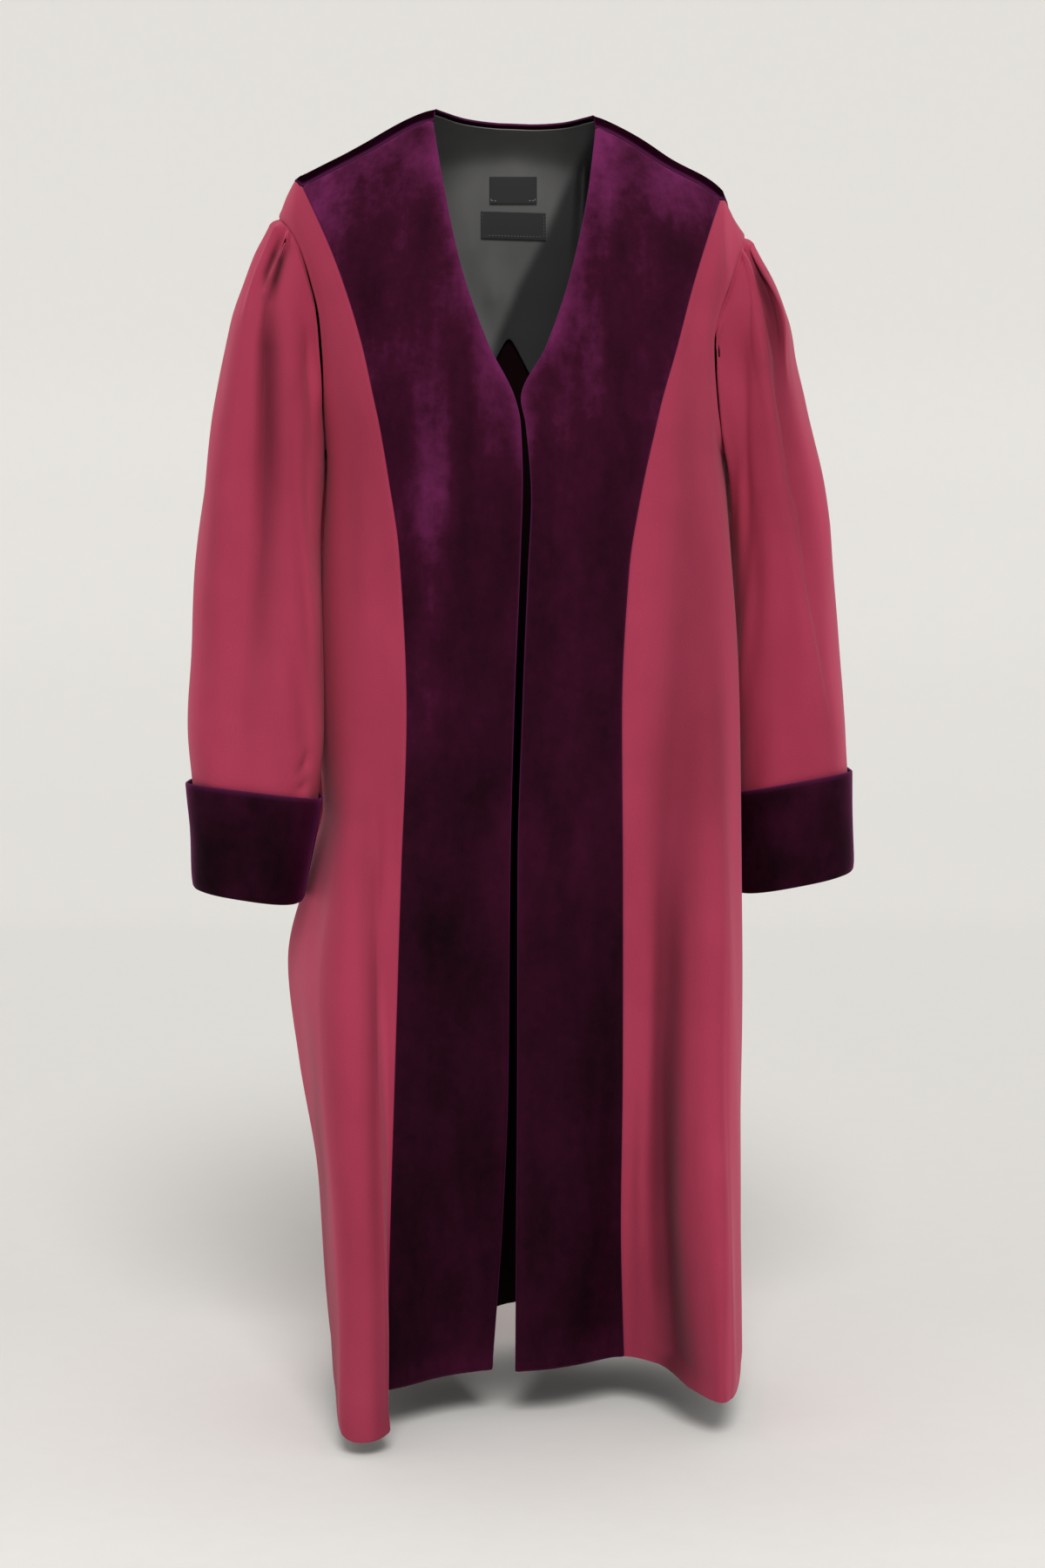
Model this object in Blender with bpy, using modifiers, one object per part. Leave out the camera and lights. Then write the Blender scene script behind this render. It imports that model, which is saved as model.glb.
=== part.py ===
"""A judicial robe, filled out with no wearer: wool body and sleeves, wide velvet bands, yoke and cuffs.

Metres, +Z up, front towards -Y. Left and right are as seen from the front. The origin lies between the two
shoulders, where the wearer carries the robe.
"""

import bpy
import numpy as np

# The cloth.
GARMENT = "judicial_robe"
LEFT, RIGHT = -1, 1
WOOL_WALL = 0.0016
VELVET_WALL = 0.0020
SATIN_WALL = 0.0010
LABEL_WALL = 0.0010
SEAM_GAP = 0.0008
LINING_GAP = 0.0021
LABEL_GAP = 0.0006

# Where the armholes end and the side seams begin.
UNDERARM = -0.290

# The body's horizontal sections. A half width reaches to the side, and a turn is the depth of that widest point.
SECTION_COLUMNS = ("height", "left_width", "right_width", "front", "back", "left_turn", "right_turn")
SECTIONS = (
    (0.060, 0.262, 0.262, -0.064, 0.082, 0.000, 0.000),
    (-0.050, 0.248, 0.250, -0.088, 0.098, 0.000, 0.000),
    (-0.100, 0.227, 0.236, -0.106, 0.106, 0.000, 0.000),
    (-0.160, 0.204, 0.214, -0.122, 0.112, 0.000, 0.000),
    (-0.220, 0.193, 0.206, -0.132, 0.114, 0.000, 0.000),
    (UNDERARM, 0.186, 0.206, -0.136, 0.114, 0.018, -0.004),
    (-0.340, 0.189, 0.209, -0.136, 0.112, 0.038, -0.018),
    (-0.400, 0.194, 0.213, -0.136, 0.110, 0.056, -0.030),
    (-0.550, 0.197, 0.220, -0.134, 0.108, 0.068, -0.040),
    (-0.640, 0.195, 0.223, -0.132, 0.108, 0.064, -0.040),
    (-0.700, 0.208, 0.224, -0.131, 0.109, 0.050, -0.040),
    (-0.800, 0.228, 0.2245, -0.128, 0.111, 0.045, -0.040),
    (-0.900, 0.218, 0.2245, -0.124, 0.112, 0.035, -0.040),
    (-1.020, 0.199, 0.2255, -0.120, 0.113, 0.020, -0.040),
    (-1.190, 0.186, 0.2265, -0.114, 0.113, 0.010, -0.040),
)
SECTION_POWER = 2.6

# The shoulder line, as half width and height, and the rounding below it.
CREST_COLUMNS = ("width", "left_height", "right_height")
CREST = (
    (0.000, 0.052, 0.052),
    (0.080, 0.045, 0.0385),
    (0.146, 0.013, 0.002),
    (0.203, -0.0155, -0.0325),
    (0.212, -0.020, -0.055),
    (0.222, -0.036, -0.070),
    (0.231, -0.058, -0.084),
    (0.260, -0.120, -0.140),
)
FRONT_ROUNDING = 0.100
BACK_ROUNDING = 0.050
SEAM_DROP = 0.0145
NECK_WIDTH = 0.079
YOKE_END = {LEFT: 0.206, RIGHT: 0.200}
NECK_POWER = 0.6
NECK_CROWDING = 1.35
YOKE_HEIGHT = -0.125
BEND_SHARE = 0.6

# The back neck's edge, by its share of the neck's half width: how far over the shoulder line it lies.
NECK_COLUMNS = ("share", "turn")
NECK = (
    (0.00, 0.470),
    (0.19, 0.443),
    (0.38, 0.403),
    (0.51, 0.366),
    (0.63, 0.320),
    (0.76, 0.240),
    (0.86, 0.145),
    (0.94, 0.040),
    (0.985, -0.090),
    (1.00, -0.343),
)

# The armholes, as half widths at the front and back edge, from the shoulder end down to the underarm.
ARMHOLE_COLUMNS = ("height", "front", "back")
ARMHOLES = {
    LEFT: (
        (-0.058, 0.231, 0.231),
        (-0.074, 0.217, 0.220),
        (-0.094, 0.206, 0.210),
        (-0.125, 0.196, 0.200),
        (-0.161, 0.188, 0.192),
        (-0.220, 0.185, 0.187),
        (UNDERARM, 0.186, 0.186),
    ),
    RIGHT: (
        (-0.076, 0.226, 0.226),
        (-0.088, 0.222, 0.222),
        (-0.125, 0.209, 0.208),
        (-0.161, 0.197, 0.200),
        (-0.183, 0.193, 0.196),
        (-0.240, 0.197, 0.198),
        (UNDERARM, 0.206, 0.206),
    ),
}

# The band's free edge runs round the neck to the V and down the front, and its seam joins it to the side front.
# The values are distances across from the middle, positive towards the viewer's right.
BAND_COLUMNS = ("height", "free_edge", "seam")
BANDS = {
    LEFT: (
        (0.031, -0.078, -0.244),
        (-0.034, -0.067, -0.207),
        (-0.110, -0.051, -0.171),
        (-0.186, -0.025, -0.146),
        (-0.239, 0.001, -0.134),
        (-0.262, 0.006, -0.129),
        (-0.315, 0.008, -0.120),
        (-0.386, 0.006, -0.110),
        (-0.534, 0.000, -0.1035),
        (-0.690, -0.004, -0.109),
        (-0.900, -0.006, -0.116),
        (-1.035, -0.0115, -0.120),
        (-1.186, -0.022, -0.123),
    ),
    RIGHT: (
        (0.028, 0.077, 0.228),
        (-0.043, 0.069, 0.199),
        (-0.123, 0.0525, 0.173),
        (-0.190, 0.030, 0.1555),
        (-0.239, 0.0065, 0.1415),
        (-0.262, 0.011, 0.136),
        (-0.333, 0.0165, 0.1205),
        (-0.400, 0.0135, 0.110),
        (-0.534, 0.008, 0.1035),
        (-0.690, 0.0035, 0.105),
        (-0.900, 0.003, 0.106),
        (-1.035, 0.002, 0.105),
        (-1.186, 0.001, 0.109),
    ),
}

# Broad swells of the whole front, by the angle round the body: push is how far the hem comes forward.
SWELL_COLUMNS = ("side", "angle", "spread", "push", "start")
SWELLS = (
    (LEFT, 38.0, 20.0, 0.075, -0.52),
    (LEFT, -4.0, 9.0, -0.012, -0.30),
    (RIGHT, 22.0, 9.0, -0.028, -0.45),
    (RIGHT, 62.0, 17.0, 0.078, -0.40),
    (RIGHT, 3.0, 7.0, 0.012, -0.60),
)

# Standing folds of the side fronts, placed from 0 at the band seam to 1 at the side seam: the near flank rises from
# foot to shoulder and the far flank falls from fall to end. The pushes, crown and lean are the hem's movement.
FOLD_COLUMNS = ("foot", "shoulder", "fall", "end", "near_push", "far_push", "crown", "lean", "start")
FRONT_FOLDS = {
    LEFT: ((0.015, 0.13, 0.42, 0.78, 0.060, 0.128, 0.010, 0.017, -0.58),),
    RIGHT: ((0.14, 0.32, 0.60, 0.97, 0.040, 0.022, 0.006, -0.002, -0.60),),
}

# Standing folds of the back, placed from -1 at the left side seam to 1 at the right one.
BACK_FOLD_COLUMNS = ("top_place", "hem_place", "width", "push", "start")
BACK_FOLDS = (
    (-0.52, -0.66, 0.115, 0.050, -0.30),
    (-0.24, -0.30, 0.100, 0.055, -0.22),
    (0.05, 0.03, 0.095, 0.060, -0.18),
    (0.30, 0.37, 0.105, 0.052, -0.24),
    (0.56, 0.70, 0.115, 0.045, -0.34),
)
HEM_COLUMNS = ("angle", "left_height", "right_height")
HEM = (
    (-10.0, -1.186, -1.189),
    (12.0, -1.187, -1.182),
    (26.0, -1.188, -1.182),
    (35.0, -1.189, -1.184),
    (43.0, -1.215, -1.191),
    (52.0, -1.220, -1.195),
    (62.0, -1.210, -1.196),
    (74.0, -1.196, -1.193),
    (90.0, -1.190, -1.189),
    (180.0, -1.190, -1.190),
)
SIDE_SEAM_ANGLE = 90.0
BACK_EDGE_GAP = {LEFT: 0.24, RIGHT: 0.10}

# The sleeves' horizontal sections: half widths at the inner and outer side, and the depths of front and back.
SLEEVE_COLUMNS = ("height", "inner", "outer", "front", "back")
SLEEVES = {
    LEFT: (
        (-0.040, 0.170, 0.240, -0.050, 0.055),
        (-0.090, 0.176, 0.261, -0.066, 0.068),
        (-0.150, 0.184, 0.274, -0.084, 0.072),
        (-0.230, 0.1885, 0.288, -0.096, 0.066),
        (-0.320, 0.1905, 0.301, -0.106, 0.052),
        (-0.460, 0.1885, 0.3145, -0.116, 0.036),
        (-0.560, 0.1870, 0.319, -0.120, 0.028),
        (-0.630, 0.1930, 0.3148, -0.118, 0.024),
        (-0.730, 0.2100, 0.3120, -0.110, 0.020),
    ),
    RIGHT: (
        (-0.050, 0.176, 0.236, -0.046, 0.060),
        (-0.095, 0.184, 0.257, -0.056, 0.074),
        (-0.150, 0.196, 0.2710, -0.064, 0.086),
        (-0.190, 0.1995, 0.2750, -0.063, 0.091),
        (-0.240, 0.204, 0.2860, -0.062, 0.096),
        (-0.320, 0.2105, 0.3050, -0.052, 0.106),
        (-0.460, 0.217, 0.3225, -0.040, 0.116),
        (-0.560, 0.2195, 0.3320, -0.034, 0.118),
        (-0.630, 0.2200, 0.3355, -0.030, 0.116),
        (-0.730, 0.2220, 0.3405, -0.028, 0.110),
    ),
}
SLEEVE_POWER = 2.3
SLEEVE_END = {LEFT: -0.7165, RIGHT: -0.7140}
SLEEVE_SLANT = {LEFT: 0.155, RIGHT: 0.190}
HEAD_SETTLE = 0.112
ARMHOLE_GAP = 0.0014
UNDERARM_GAP = 0.0032
UNDERARM_SLIT = 0.0022

# Where the sleeve's lengthwise lines meet the armhole: the cloth of the whole top is gathered into the shoulder end.
GATHER_COLUMNS = ("line", "armhole")
GATHER = (
    (-180.0, -180.0),
    (-150.0, -130.0),
    (-120.0, -82.0),
    (-100.0, -48.0),
    (-80.0, -33.0),
    (-58.0, -19.0),
    (0.0, 0.0),
    (50.0, 14.0),
    (62.0, 21.0),
    (71.0, 27.5),
    (80.0, 31.0),
    (89.0, 35.0),
    (100.0, 48.0),
    (120.0, 82.0),
    (150.0, 130.0),
    (180.0, 180.0),
)

# Pleats of a sleeve head, by the angle of the line that they follow: a ridge rises, and a tuck's opening sinks.
PLEAT_COLUMNS = ("angle", "width", "rise", "length")
PLEATS = {
    LEFT: (
        (60.0, 6.0, 0.0080, 0.110),
        (71.0, 2.6, -0.0050, 0.060),
        (80.0, 4.5, 0.0065, 0.085),
        (89.0, 3.0, -0.0055, 0.075),
        (0.0, 40.0, 0.0060, 0.078),
        (-58.0, 8.0, 0.0075, 0.095),
        (-80.0, 8.0, 0.0070, 0.105),
    ),
    RIGHT: (
        (58.0, 7.0, 0.0090, 0.160),
        (72.0, 3.5, -0.0060, 0.120),
        (86.0, 6.0, 0.0050, 0.200),
        (0.0, 40.0, 0.0060, 0.078),
        (-58.0, 8.0, 0.0075, 0.095),
        (-80.0, 8.0, 0.0070, 0.105),
    ),
}

# The angles of a sleeve's lengthwise lines: line number and angle, closest together where the pleats show.
LINE_COLUMNS = ("line", "angle")
SLEEVE_LINES = ((0, -180.0), (5, -100.0), (13, -45.0), (20, 50.0), (36, 98.0), (42, 180.0))

# The turned-up cuff: height above the sleeve's end and distance out of the sleeve's wall.
CUFF_COLUMNS = ("rise", "offset")
CUFF_PROFILE = (
    (0.034, -0.0034),
    (0.006, -0.0034),
    (-0.0024, -0.0028),
    (-0.0042, 0.0003),
    (-0.0022, 0.0026),
    (0.004, 0.0032),
    (0.060, 0.0038),
    (0.1035, 0.0050),
)
CUFF_FRONT_RISE = 0.005
CUFF_HEIGHT = {LEFT: 0.94, RIGHT: 0.92}

# The lining's arched lower edge and the two labels on it.
LINING_INSET = 0.004
LINING_ARCH_TOP = -0.171
LINING_ARCH_CENTRE = -0.006
LINING_ARCH_SLOPE = 2.1
LINING_ARCH_ROUND = 0.004
LINING_ARCH_DEPTH = 0.105
LINING_REACH = 0.146
LINING_SHARE = 0.25
LINING_STEP = 0.06
LABEL_COLUMNS = ("centre_across", "top", "bottom", "width", "tilt")
LABELS = {
    "label_upper": (-0.0015, -0.009, -0.036, 0.048, 0.000),
    "label_lower": (-0.0015, -0.044, -0.071, 0.066, -0.030),
}

# How finely each piece is divided: steps across and steps down.
STEPS = {
    "band": (7, 11),
    "front": (17, 10),
    "back": (32, 5),
    "below_underarm": 14,
    "yoke": (32, 8, 2),
    "sleeve": 14,
    "cuff": 32,
    "lining": (20, 7, 4),
    "label": (6, 2),
}

COLOURS = {
    "wool": ((0.27, 0.035, 0.070, 1.0), 0.85),
    "velvet": ((0.050, 0.008, 0.040, 1.0), 0.70),
    "satin": ((0.060, 0.060, 0.062, 1.0), 0.45),
    "label": ((0.018, 0.018, 0.022, 1.0), 0.60),
}


def column(rows, names, name):
    """One named column of a table."""
    place = names.index(name)
    return np.array([row[place] for row in rows], dtype=float)


def smooth_curve(known, values):
    """A smooth curve through known points that never overshoots them and runs straight on past both ends."""
    order = np.argsort(known)
    known = np.asarray(known, dtype=float)[order]
    values = np.asarray(values, dtype=float)[order]
    step = np.diff(known)
    slope = np.diff(values) / step
    tangent = np.concatenate(([slope[0]], np.zeros(len(slope) - 1), [slope[-1]]))
    rising = slope[:-1] * slope[1:] > 0.0
    inner = np.zeros(len(slope) - 1)
    inner[rising] = 2.0 * slope[:-1][rising] * slope[1:][rising] / (slope[:-1] + slope[1:])[rising]
    tangent[1:-1] = inner

    def at(position):
        position = np.asarray(position, dtype=float)
        held = np.clip(position, known[0], known[-1])
        index = np.clip(np.searchsorted(known, held) - 1, 0, len(step) - 1)
        part = (held - known[index]) / step[index]
        value = (
            values[index] * (2 * part**3 - 3 * part**2 + 1)
            + values[index + 1] * (3 * part**2 - 2 * part**3)
            + step[index] * tangent[index] * (part**3 - 2 * part**2 + part)
            + step[index] * tangent[index + 1] * (part**3 - part**2)
        )
        past = position - held
        return value + np.where(past > 0.0, tangent[-1], tangent[0]) * past

    return at


def blend(first, second, part):
    """The value a given part of the way from the first to the second."""
    return first + (second - first) * part


def ease(part):
    """A ramp from 0 to 1 that starts and ends level."""
    part = np.clip(part, 0.0, 1.0)
    return part * part * (3.0 - 2.0 * part)


def section_curve(name):
    """How one column of the body's sections runs with height."""
    return smooth_curve(column(SECTIONS, SECTION_COLUMNS, "height"), column(SECTIONS, SECTION_COLUMNS, name))


SECTION = {name: section_curve(name) for name in SECTION_COLUMNS[1:]}
CREST_WIDTH = column(CREST, CREST_COLUMNS, "width")
CREST_HEIGHT = {
    LEFT: smooth_curve(CREST_WIDTH, column(CREST, CREST_COLUMNS, "left_height")),
    RIGHT: smooth_curve(CREST_WIDTH, column(CREST, CREST_COLUMNS, "right_height")),
}
HEM_ANGLE = column(HEM, HEM_COLUMNS, "angle")
HEM_HEIGHT = {
    LEFT: smooth_curve(HEM_ANGLE, column(HEM, HEM_COLUMNS, "left_height")),
    RIGHT: smooth_curve(HEM_ANGLE, column(HEM, HEM_COLUMNS, "right_height")),
}
HEM_LEVEL = float(HEM_HEIGHT[LEFT](0.0))


def side_value(name, side, height):
    """A left or right column of the sections at a height; side may be an array of -1 and 1."""
    return np.where(np.asarray(side) < 0, SECTION["left_" + name](height), SECTION["right_" + name](height))


def crest_at(side, width):
    """Height of the shoulder line at a half width."""
    return np.where(np.asarray(side) < 0, CREST_HEIGHT[LEFT](width), CREST_HEIGHT[RIGHT](width))


def angle_at(side, width, height):
    """Angle round the body, from the centre front, at which the front has this half width."""
    share = np.clip(np.abs(width) / side_value("width", side, height), 0.0, 1.0)
    return np.sign(width) * np.degrees(np.arcsin(share ** (SECTION_POWER / 2.0)))


def swell_push(side, angle, height):
    """How far the broad swells bring the front forward."""
    total = np.zeros(np.broadcast(side, angle, height).shape)
    for swell_side, centre, spread, push, start in SWELLS:
        grown = np.clip((start - height) / (start - HEM_LEVEL), 0.0, 1.0) ** 1.5
        wave = np.exp(-(((angle - centre) / spread) ** 2))
        total = total + np.where(np.asarray(side) == swell_side, push * grown * wave, 0.0)
    return total


def body_point(side, angle, height):
    """A point of the body's wall: half an oval on each side, deepest at the centre front and centre back.

    Across = half width x sin(angle) to the power 2/n, depth = turn -/+ its reach x cos(angle) to the power 2/n.
    Near the shoulder line the depth closes in on the line along a quarter circle.
    """
    radians = np.radians(angle)
    power = 2.0 / SECTION_POWER
    width = side_value("width", side, height) * np.sign(np.sin(radians)) * np.abs(np.sin(radians)) ** power
    turn = side_value("turn", side, height)
    reach = np.abs(np.cos(radians)) ** power
    front = blend(turn, SECTION["front"](height), reach)
    back = blend(turn, SECTION["back"](height), reach)
    depth = np.where(np.cos(radians) >= 0.0, front, back) - swell_push(side, angle, height)
    rounding = np.where(np.cos(radians) >= 0.0, FRONT_ROUNDING, BACK_ROUNDING)
    below = np.clip((crest_at(side, np.abs(width)) - height) / rounding, 0.0, 1.0)
    depth = depth * np.sqrt(np.clip(1.0 - (1.0 - below) ** 2, 0.0, 1.0))
    return np.stack(np.broadcast_arrays(side * width, depth, height), axis=-1)


def armhole_width(side, edge):
    """Half width of the armhole's front or back edge by height."""
    rows = ARMHOLES[side]
    return smooth_curve(column(rows, ARMHOLE_COLUMNS, "height"), column(rows, ARMHOLE_COLUMNS, edge))


def armhole_ends(side):
    """Heights of the top and the bottom of the armhole."""
    return ARMHOLES[side][0][0], ARMHOLES[side][-1][0]


def side_edge_angle(side, height, edge):
    """Angle of a panel's outer edge: along the armhole, and below it along the side seam."""
    open_angle = angle_at(side, armhole_width(side, edge)(height), height)
    if edge == "back":
        open_angle = 180.0 - open_angle
    return np.where(height > UNDERARM, open_angle, SIDE_SEAM_ANGLE)


def band_curve(side, name):
    """How one column of a band's table runs with height."""
    rows = BANDS[side]
    return smooth_curve(column(rows, BAND_COLUMNS, "height"), column(rows, BAND_COLUMNS, name))


def shoulder_seam_height(side, width):
    """Height of the shoulder seam: in front of the shoulder line along the yoke, and on it past the yoke's end."""
    end = YOKE_END[side]
    tip = ARMHOLES[side][0][1]
    drop = SEAM_DROP * (1.0 - ease((width - end) / (0.45 * (tip - end))))
    return CREST_HEIGHT[side](width) - drop


def down_steps(count, crowding):
    """Steps from 0 to 1, closer together near the top."""
    even = np.linspace(0.0, 1.0, count + 1)
    return blend(even, even**2, crowding)


def body_heights(top, hem, above):
    """Heights of a body panel's rows: from its top edge to the underarm, and on to the hem on rows all panels share.

    Also gives how far each row is towards the underarm.
    """
    upper = down_steps(above, 0.45)[:, None]
    lower = down_steps(STEPS["below_underarm"], 0.0)[1:, None]
    height = np.concatenate((blend(top, UNDERARM, upper), blend(UNDERARM, hem, lower)), axis=0)
    reached = np.concatenate((upper, np.ones_like(lower)), axis=0)
    return height, reached


def band_points(side):
    """Grid of a velvet band: across from the free edge to the seam, and down from the shoulder seam to the hem."""
    across, above = STEPS["band"]
    u = np.linspace(0.0, 1.0, across + 1)[None, :]
    top_width = blend(NECK_WIDTH, YOKE_END[side], u)
    top = shoulder_seam_height(side, top_width) - SEAM_GAP
    hem_angle = angle_at(side, np.abs(BANDS[side][-1][2]), HEM_LEVEL) * u
    height, reached = body_heights(top, HEM_HEIGHT[side](hem_angle), above)
    free = side * band_curve(side, "free_edge")(height[:, :1])
    seam = side * band_curve(side, "seam")(height[:, -1:]) - SEAM_GAP / 2.0
    width = blend(free, seam, u) + (1.0 - reached) ** 2 * (top_width - blend(free[:1], seam[:1], u))
    return body_point(side, angle_at(side, width, height), height)


def fold_shift(side, u, height):
    """Movement of a side front's standing folds: forward and sideways, nothing at the seams."""
    forward = np.zeros(np.broadcast(u, height).shape)
    sideways = np.zeros_like(forward)
    for foot, shoulder, fall, end, near_push, far_push, crown, lean, start in FRONT_FOLDS[side]:
        grown = np.clip((start - height) / (start - HEM_LEVEL), 0.0, 1.05) ** 1.4
        wave = ease((u - foot) / (shoulder - foot)) * ease((end - u) / (end - fall))
        part = np.clip((u - shoulder) / (fall - shoulder), 0.0, 1.0)
        dome = 1.0 - (2.0 * part - 1.0) ** 2
        forward = forward + (blend(near_push, far_push, part) * wave + crown * dome) * grown
        sideways = sideways + lean * (1.0 - ease(part)) * wave * grown
    return forward, sideways


def front_points(side):
    """Grid of a wool side front: across from the band seam to the side, and down from the shoulder to the hem."""
    across, above = STEPS["front"]
    u = (np.linspace(0.0, 1.0, across + 1) ** 1.25)[None, :]
    tip_width = ARMHOLES[side][0][1]
    tip_height = armhole_ends(side)[0]
    top_width = blend(YOKE_END[side] + SEAM_GAP, tip_width, u)
    top = np.minimum(shoulder_seam_height(side, top_width), crest_at(side, top_width)) - SEAM_GAP
    seam_hem = angle_at(side, np.abs(BANDS[side][-1][2]), HEM_LEVEL)
    height, reached = body_heights(top, HEM_HEIGHT[side](blend(seam_hem, SIDE_SEAM_ANGLE, u)), above)
    seam_width = side * band_curve(side, "seam")(height[:, :1]) + SEAM_GAP / 2.0
    inner = angle_at(side, seam_width, height[:, :1])
    outer = side_edge_angle(side, np.minimum(height[:, -1:], tip_height), "front")
    angle = blend(inner, outer, u)
    angle = angle + (1.0 - reached) ** 3 * (angle_at(side, top_width, top) - angle[:1])
    points = body_point(side, angle, height)
    forward, sideways = fold_shift(side, u, height)
    points[..., 1] -= forward
    points[..., 0] -= side * sideways
    return points


def back_points():
    """Grid of the wool back: across from the left side to the right, and down from the yoke seam to the hem."""
    across, above = STEPS["back"]
    w = np.linspace(-1.0, 1.0, across + 1)[None, :]
    side = np.where(w < 0.0, LEFT, RIGHT)
    hem_angle = blend(180.0, SIDE_SEAM_ANGLE, np.abs(w))
    hem = np.where(w < 0.0, HEM_HEIGHT[LEFT](hem_angle), HEM_HEIGHT[RIGHT](hem_angle))
    height, reached = body_heights(YOKE_HEIGHT - SEAM_GAP + 0.0 * w, hem, above)
    left_edge = side_edge_angle(LEFT, height, "back") + BACK_EDGE_GAP[LEFT]
    right_edge = side_edge_angle(RIGHT, height, "back") + BACK_EDGE_GAP[RIGHT]
    edge = np.where(w < 0.0, left_edge, right_edge)
    angle = blend(180.0, edge, np.abs(w))
    points = body_point(side, angle, height)
    shift = np.zeros_like(height)
    for top_place, hem_place, width, push, start in BACK_FOLDS:
        grown = np.clip((start - height) / (start - HEM_LEVEL), 0.0, 1.0)
        place = blend(top_place, hem_place, grown)
        shift = shift + push * grown**1.2 * np.exp(-(((w - place) / width) ** 2))
    shift = (shift - 0.35 * shift.max(axis=1, keepdims=True)) * (1.0 - w**6)
    radians = np.radians(angle)
    points[..., 0] += 0.45 * shift * side * np.sin(radians)
    points[..., 1] -= shift * np.cos(radians)
    return points


def over_shoulder(across, turn):
    """A point over the shoulder: turn -1 at the front, 0 on the shoulder line, 1 where the back hangs straight."""
    side = np.where(across < 0.0, LEFT, RIGHT)
    width = np.abs(across)
    arch = np.radians(90.0 + 90.0 * np.clip(turn, -1.0, 1.0))
    rounding = np.where(turn > 0.0, BACK_ROUNDING, FRONT_ROUNDING)
    below = rounding * (1.0 - np.sin(arch) + np.maximum(turn - 1.0, 0.0))
    height = crest_at(side, width) - below
    angle = angle_at(side, width, height)
    angle = np.where(turn > 0.0, 180.0 - angle, angle)
    return body_point(side, angle, height)


def turn_at_height(across, height):
    """The turn at which the back of the shoulder reaches a height."""
    side = np.where(across < 0.0, LEFT, RIGHT)
    below = (crest_at(side, np.abs(across)) - height) / BACK_ROUNDING
    arch = 1.0 - np.degrees(np.arcsin(np.clip(1.0 - below, 0.0, 1.0))) / 90.0
    return np.where(below < 1.0, arch, below)


def seam_turn(side, width):
    """The turn at which the shoulder seam lies, in front of the shoulder line."""
    below = np.clip((CREST_HEIGHT[side](width) - shoulder_seam_height(side, width)) / FRONT_ROUNDING, 0.0, 1.0)
    past_end = ease((width - YOKE_END[side] + 0.004) / (ARMHOLES[side][0][1] - YOKE_END[side]))
    return -(1.0 - np.degrees(np.arcsin(1.0 - below)) / 90.0) + 0.004 + 0.045 * past_end


NECK_TURN = smooth_curve(column(NECK, NECK_COLUMNS, "share"), column(NECK, NECK_COLUMNS, "turn"))


def yoke_top(part, inset):
    """Top edge of the yoke as across and turn: a shoulder seam, round the back neck, and the other shoulder seam.

    Along the back neck, across = half width x cosine to the power 0.6, and the turn comes from the neck's table.
    """
    shoulder = 0.30
    across = np.zeros_like(part)
    turn = np.zeros_like(part)
    for side in (LEFT, RIGHT):
        place = part if side == LEFT else 1.0 - part
        on_seam = place <= shoulder
        width = blend(ARMHOLES[side][0][1], NECK_WIDTH + inset, np.clip(place / shoulder, 0.0, 1.0) ** 1.5)
        mine = on_seam
        across = np.where(mine, side * width, across)
        turn = np.where(mine, seam_turn(side, np.clip(width, 0.0, ARMHOLES[side][0][1])), turn)
        bend = np.radians(90.0 * np.clip((place - shoulder) / (0.5 - shoulder), 0.0, 1.0) ** NECK_CROWDING)
        mine = (place > shoulder) & (place <= 0.5)
        share = np.clip(np.cos(bend), 0.0, 1.0) ** NECK_POWER
        across = np.where(mine, side * (NECK_WIDTH + inset) * share, across)
        turn = np.where(mine, NECK_TURN(share) + inset / 0.14 * np.sin(bend), turn)
    return across, turn


def bend_rows(bend, hang):
    """Rows from 0 to 1 for cloth that goes over the shoulder: some round the bend, the rest where it hangs."""
    return np.concatenate((np.linspace(0.0, BEND_SHARE, bend + 1), np.linspace(BEND_SHARE, 1.0, hang + 1)[1:]))[:, None]


def bend_turn(top_turn, low_turn, rows):
    """The turn of each row: evenly round the bend until the cloth hangs straight, then down to its lower edge."""
    round_bend = blend(top_turn[None, :], 1.0, rows / BEND_SHARE)
    hanging = blend(1.0, low_turn[None, :], (rows - BEND_SHARE) / (1.0 - BEND_SHARE))
    return np.where(rows <= BEND_SHARE, round_bend, hanging)


def yoke_points():
    """Grid of the velvet yoke: across from shoulder end to shoulder end, and down the back to the yoke seam."""
    across, bend, hang = STEPS["yoke"]
    part = np.linspace(0.0, 1.0, across + 1)
    top_across, top_turn = yoke_top(part, 0.0)
    low_across = np.interp(part, (0.0, 0.5, 1.0), (-armhole_back_width(LEFT), 0.0, armhole_back_width(RIGHT)))
    low_turn = turn_at_height(low_across, YOKE_HEIGHT)
    v = bend_rows(bend, hang)
    place = blend(top_across[None, :], low_across[None, :], v)
    points = over_shoulder(place, bend_turn(top_turn, low_turn, v))
    for side, edge in ((LEFT, 0), (RIGHT, -1)):
        height = blend(armhole_ends(side)[0], YOKE_HEIGHT, v[:, 0])
        angle = side_edge_angle(side, height, "back") + BACK_EDGE_GAP[side]
        points[:, edge] = body_point(side, angle, height)
    return points


def armhole_back_width(side):
    """Half width of the armhole's back edge where the yoke ends."""
    return float(armhole_width(side, "back")(YOKE_HEIGHT))


def sleeve_curve(side, name):
    """How one column of a sleeve's sections runs with height."""
    rows = SLEEVES[side]
    return smooth_curve(column(rows, SLEEVE_COLUMNS, "height"), column(rows, SLEEVE_COLUMNS, name))


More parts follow.
